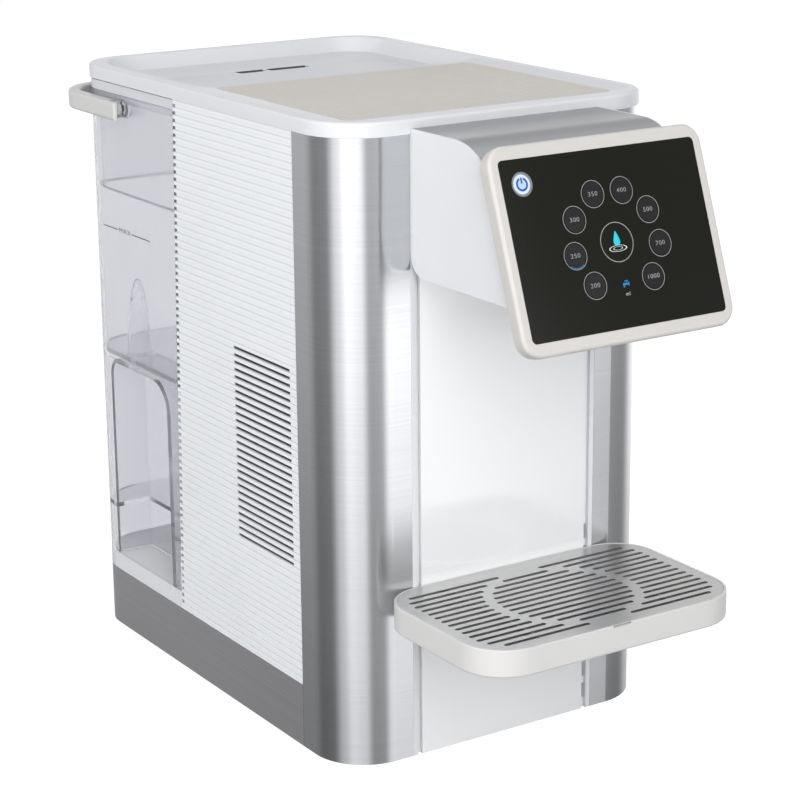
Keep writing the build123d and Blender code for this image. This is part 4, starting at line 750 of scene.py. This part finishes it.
# Eight keys stand in a ring, marked in millilitres; one has a blue arc under its number.
KEYS_UP, KEYS_R, KEY_R, KEY_LINE = -2.47 * MM, 30.4 * MM, 7.95 * MM, 0.38 * MM
FACE_IN, FACE_T = 1.1 * MM, 0.01 * MM          # the smoky face: in from the ring, and its thickness
ARC_IN, ARC_BELOW = 0.75 * MM, -5.4 * MM
DIGIT_H, DIGIT_WIDE, DIGIT_LIFT = 2.6 * MM, 1.14, 0.015 * MM
for label, angle in (("400", 19.6), ("500", 58.8), ("700", 98.0), ("1000", 137.2),
                     ("350", -19.6), ("300", -58.8), ("250", -98.0), ("200", -137.2)):
    x = KEYS_R * math.sin(math.radians(angle))
    up = KEYS_UP + KEYS_R * math.cos(math.radians(angle))
    lay_print(ring_print(KEY_R, KEY_LINE), "key_ring_" + label, lit_grey, x, up)
    unselect()
    bpy.ops.mesh.primitive_circle_add(vertices=64, radius=KEY_R - FACE_IN, fill_type="NGON")
    smoke = bpy.context.object
    thicken(smoke, FACE_T)
    on_display(smoke, x, up, 0)
    settle(smoke, "key_face_" + label, key_smoke, "body")
    number = word_print(label, DIGIT_H, DIGIT_WIDE)
    lay_print(number, "key_number_" + label, lit_digits, x, up, DIGIT_LIFT)
    if label == "250":
        arc = ring_print(KEY_R - ARC_IN, KEY_LINE, lambda c: c.y < ARC_BELOW)
        lay_print(arc, "key_arc", lit_blue, x, up)

# In the middle a larger ring holds a drop above two ripples.
MIDDLE_R, MIDDLE_LINE = 11.5 * MM, 0.5 * MM
DROP_R, DROP_TIP, DROP_REACH, DROP_UP = 2.3 * MM, 3.6 * MM, 3.1 * MM, 0.2 * MM
RIPPLES, RIPPLE_FLAT, RIPPLE_DOWN = ((6.3, 0.75), (3.4, 0.5)), 0.3, 3.6 * MM
lay_print(ring_print(MIDDLE_R, MIDDLE_LINE), "middle_ring", lit_grey, 0, KEYS_UP)
unselect()
bpy.ops.mesh.primitive_circle_add(vertices=40, radius=DROP_R, fill_type="NGON")
bpy.ops.object.mode_set(mode="EDIT")
pick(lambda v: v.co.y > DROP_R - 0.1 * MM)
bpy.ops.transform.translate(value=(0, DROP_TIP, 0), use_proportional_edit=True,
                            proportional_edit_falloff="SHARP", proportional_size=DROP_REACH)
bpy.ops.object.mode_set(mode="OBJECT")
lay_print(bpy.context.object, "drop_print", lit_cyan, 0, KEYS_UP + DROP_UP)
ripples = []
for radius, width in RIPPLES:
    ripple = ring_print(radius * MM, width * MM)
    ripple.scale = (1, RIPPLE_FLAT, 1)
    bpy.ops.object.transform_apply(scale=True)
    ripples.append(ripple)
lay_print(join(ripples), "ripple_print", lit_white, 0, KEYS_UP - RIPPLE_DOWN)

# Below the keys stand a small tap and the letters ml. The tap is five bars: its pipe, outlet, stem, handle
# and flange.
TAP_BARS = ((-2.1, 0.2, 1.5, 1.5), (-1.9, -1.0, -0.9, 0.2), (0.2, 1.5, 0.8, 2.3), (-0.9, 2.3, 1.9, 2.9),
            (1.5, -0.2, 2.4, 1.9))
TAP_CORNER, TAP_X, TAP_UP = 0.25 * MM, 0.5 * MM, -27.4 * MM
UNIT_H, UNIT_X, UNIT_UP = 2.2 * MM, 0.7 * MM, -32.2 * MM
tap = join([plate((x1 - x0) * MM, (y1 - y0) * MM, TAP_CORNER, 3, (x0 + x1) / 2 * MM, (y0 + y1) / 2 * MM)
            for x0, y0, x1, y1 in TAP_BARS])
lay_print(tap, "tap_print", lit_blue, TAP_X, TAP_UP)
lay_print(word_print("ml", UNIT_H), "unit_print", lit_white, UNIT_X, UNIT_UP)

# The power button's face glows: white at its rim, light blue in its middle, with the sign printed in blue.
BUTTON_X, BUTTON_UP = -55.4 * MM, 36.9 * MM
BUTTON_FACE = 0.1 * MM         # the button stands this far proud of the glass
GLOW_R = 6.1 * MM
SIGN_R, SIGN_LINE, SIGN_GAP = 3.9 * MM, 1.15 * MM, 1.3 * MM
BAR_W, BAR_L, BAR_UP, BAR_CORNER = 1.0 * MM, 3.4 * MM, 2.1 * MM, 0.3 * MM
button_lit, tree, shader = finish_of("button_lit")
centre_y = glass_middle[1] + BUTTON_UP * math.sin(tilt) - GLASS_HALF * math.cos(tilt)
centre_z = glass_middle[2] + BUTTON_UP * math.cos(tilt) + GLASS_HALF * math.sin(tilt)
away = tree.nodes.new("ShaderNodeVectorMath")
away.operation = "DISTANCE"
away.inputs[1].default_value = (BUTTON_X, centre_y, centre_z)
tree.links.new(on_piece(tree), away.inputs[0])
glow = tree.nodes.new("ShaderNodeValToRGB")
tree.links.new(mapped(tree, away.outputs["Value"], 0.0, GLOW_R), glow.inputs[0])
glow.color_ramp.elements[0].color = (0.33, 0.50, 0.74, 1)
glow.color_ramp.elements[1].color = (0.50, 0.58, 0.70, 1)
glow.color_ramp.elements[0].position = 0.35
glow.color_ramp.elements[1].position = 0.85
tree.links.new(glow.outputs["Color"], shader.inputs["Emission Color"])
tree.links.new(glow.outputs["Color"], shader.inputs["Base Color"])
shader.inputs["Emission Strength"].default_value = 0.3
shader.inputs["Roughness"].default_value = 0.35
paint(button_lit, "power_button")
sign_ring = ring_print(SIGN_R, SIGN_LINE, lambda c: not (c.y > 0 and abs(c.x) < SIGN_GAP))
sign_bar = plate(BAR_W, BAR_L, BAR_CORNER, y=BAR_UP)
sign = join([sign_ring, sign_bar])
thicken(sign, PRINT)
on_display(sign, BUTTON_X - PRINT_X, BUTTON_UP, BUTTON_FACE)
sign_blue = plastic_finish("sign_blue", (0.004, 0.05, 0.30), 0.35)
settle(sign, "power_sign", sign_blue, "button")

# ---- Drip tray and grille ----
# A warm white moulded tray that can be set at several heights, with a brushed steel grille laid in it. The
# grille lifts out.
tray_white = plastic_finish("tray_white", (0.66, 0.65, 0.64), 0.4, 2200, 0.12, 0.015)
grille_steel = metal_finish("grille_steel", (0.66, 0.66, 0.655), (5, 1800, 1800), 0.1, 0.3, 0.3)
paint(tray_white, "drip_tray")
paint(grille_steel, "drip_grille")

# ---- Chiller, heater, pump, wiring and boards ----
# The works inside, seen when a panel is off: a galvanised frame, a brushed aluminium heatsink with a black
# fan, a foam-clad cold tank, a steel heater, silicone hoses and green circuit boards.
frame_zinc = metal_finish("frame_zinc", (0.55, 0.56, 0.575), (40, 40, 40), 0.22, 0.42, 0.2)
fan_black = plastic_finish("fan_black", (0.025, 0.025, 0.027), 0.45, 1500, 0.3)
fin_aluminium = metal_finish("fin_aluminium", (0.68, 0.69, 0.70), (1800, 20, 20), 0.1, 0.32, 0.3)
ceramic_white = plastic_finish("ceramic_white", (0.72, 0.71, 0.68), 0.55, 900, 0.3, 0.05)
foam_grey = plastic_finish("foam_grey", (0.30, 0.31, 0.32), 0.9, 420, 0.9, 0.25)
heater_steel = metal_finish("heater_steel", (0.58, 0.58, 0.59), (5, 5, 1600), 0.12, 0.3, 0.3)
bakelite = plastic_finish("bakelite", (0.055, 0.04, 0.03), 0.4, 1200, 0.2, 0.1)
pump_plastic = plastic_finish("pump_plastic", (0.06, 0.065, 0.07), 0.4, 1800, 0.2)
meter_blue = clear_finish("meter_blue", (0.55, 0.66, 0.74), 0.15, 0.1, 0.5)
acetal_white = plastic_finish("acetal_white", (0.74, 0.74, 0.72), 0.35, 2000, 0.1, 0.03)
hose_silicone = clear_finish("hose_silicone", (0.82, 0.83, 0.83), 0.3, 0.1, 0.55)
inlet_black = plastic_finish("inlet_black", (0.02, 0.02, 0.021), 0.35, 1800, 0.15)
sleeve_black = plastic_finish("sleeve_black", (0.03, 0.03, 0.032), 0.6, 1500, 0.6, 0.2)

# A circuit board: green lacquer over branching tracks, with rows of tinned pads.
board_green, tree, shader = finish_of("board_green")
where = on_piece(tree)
cells = tree.nodes.new("ShaderNodeTexVoronoi")
cells.feature = "DISTANCE_TO_EDGE"
cells.distance = "CHEBYCHEV"
cells.inputs["Scale"].default_value = 160.0
tree.links.new(where, cells.inputs["Vector"])
tracks = ramp(tree, cells.outputs["Distance"], [(0.0, 1.0), (0.05, 1.0), (0.09, 0.0)])
pads = tree.nodes.new("ShaderNodeTexVoronoi")
pads.inputs["Scale"].default_value = 240.0
pads.inputs["Randomness"].default_value = 0.3
tree.links.new(where, pads.inputs["Vector"])
dots = ramp(tree, pads.outputs["Distance"], [(0.0, 1.0), (0.16, 1.0), (0.2, 0.0)])
lacquer = mixed(tree, (0.012, 0.085, 0.035, 1), (0.03, 0.17, 0.06, 1), tracks)
tinned = mixed(tree, lacquer, (0.55, 0.55, 0.52, 1), dots)
tree.links.new(tinned, shader.inputs["Base Color"])
tree.links.new(spread(tree, noise(tree, where, 60.0), 0.3, 0.42), shader.inputs["Roughness"])
paint(frame_zinc, "equipment_frame")
paint(fan_black, "fan_frame", "fan_rotor")
paint(fin_aluminium, "heatsink")
paint(ceramic_white, "cooler_module")
paint(foam_grey, "cold_tank")
paint(heater_steel, "heater")
paint(bakelite, "heater_cutouts")
paint(pump_plastic, "pump")
paint(meter_blue, "flow_meter")
paint(acetal_white, "manifold")
paint(hose_silicone, "hoses")
paint(board_green, "power_supply", "control_board", "display_board")
paint(inlet_black, "mains_inlet")
paint(sleeve_black, "wiring")
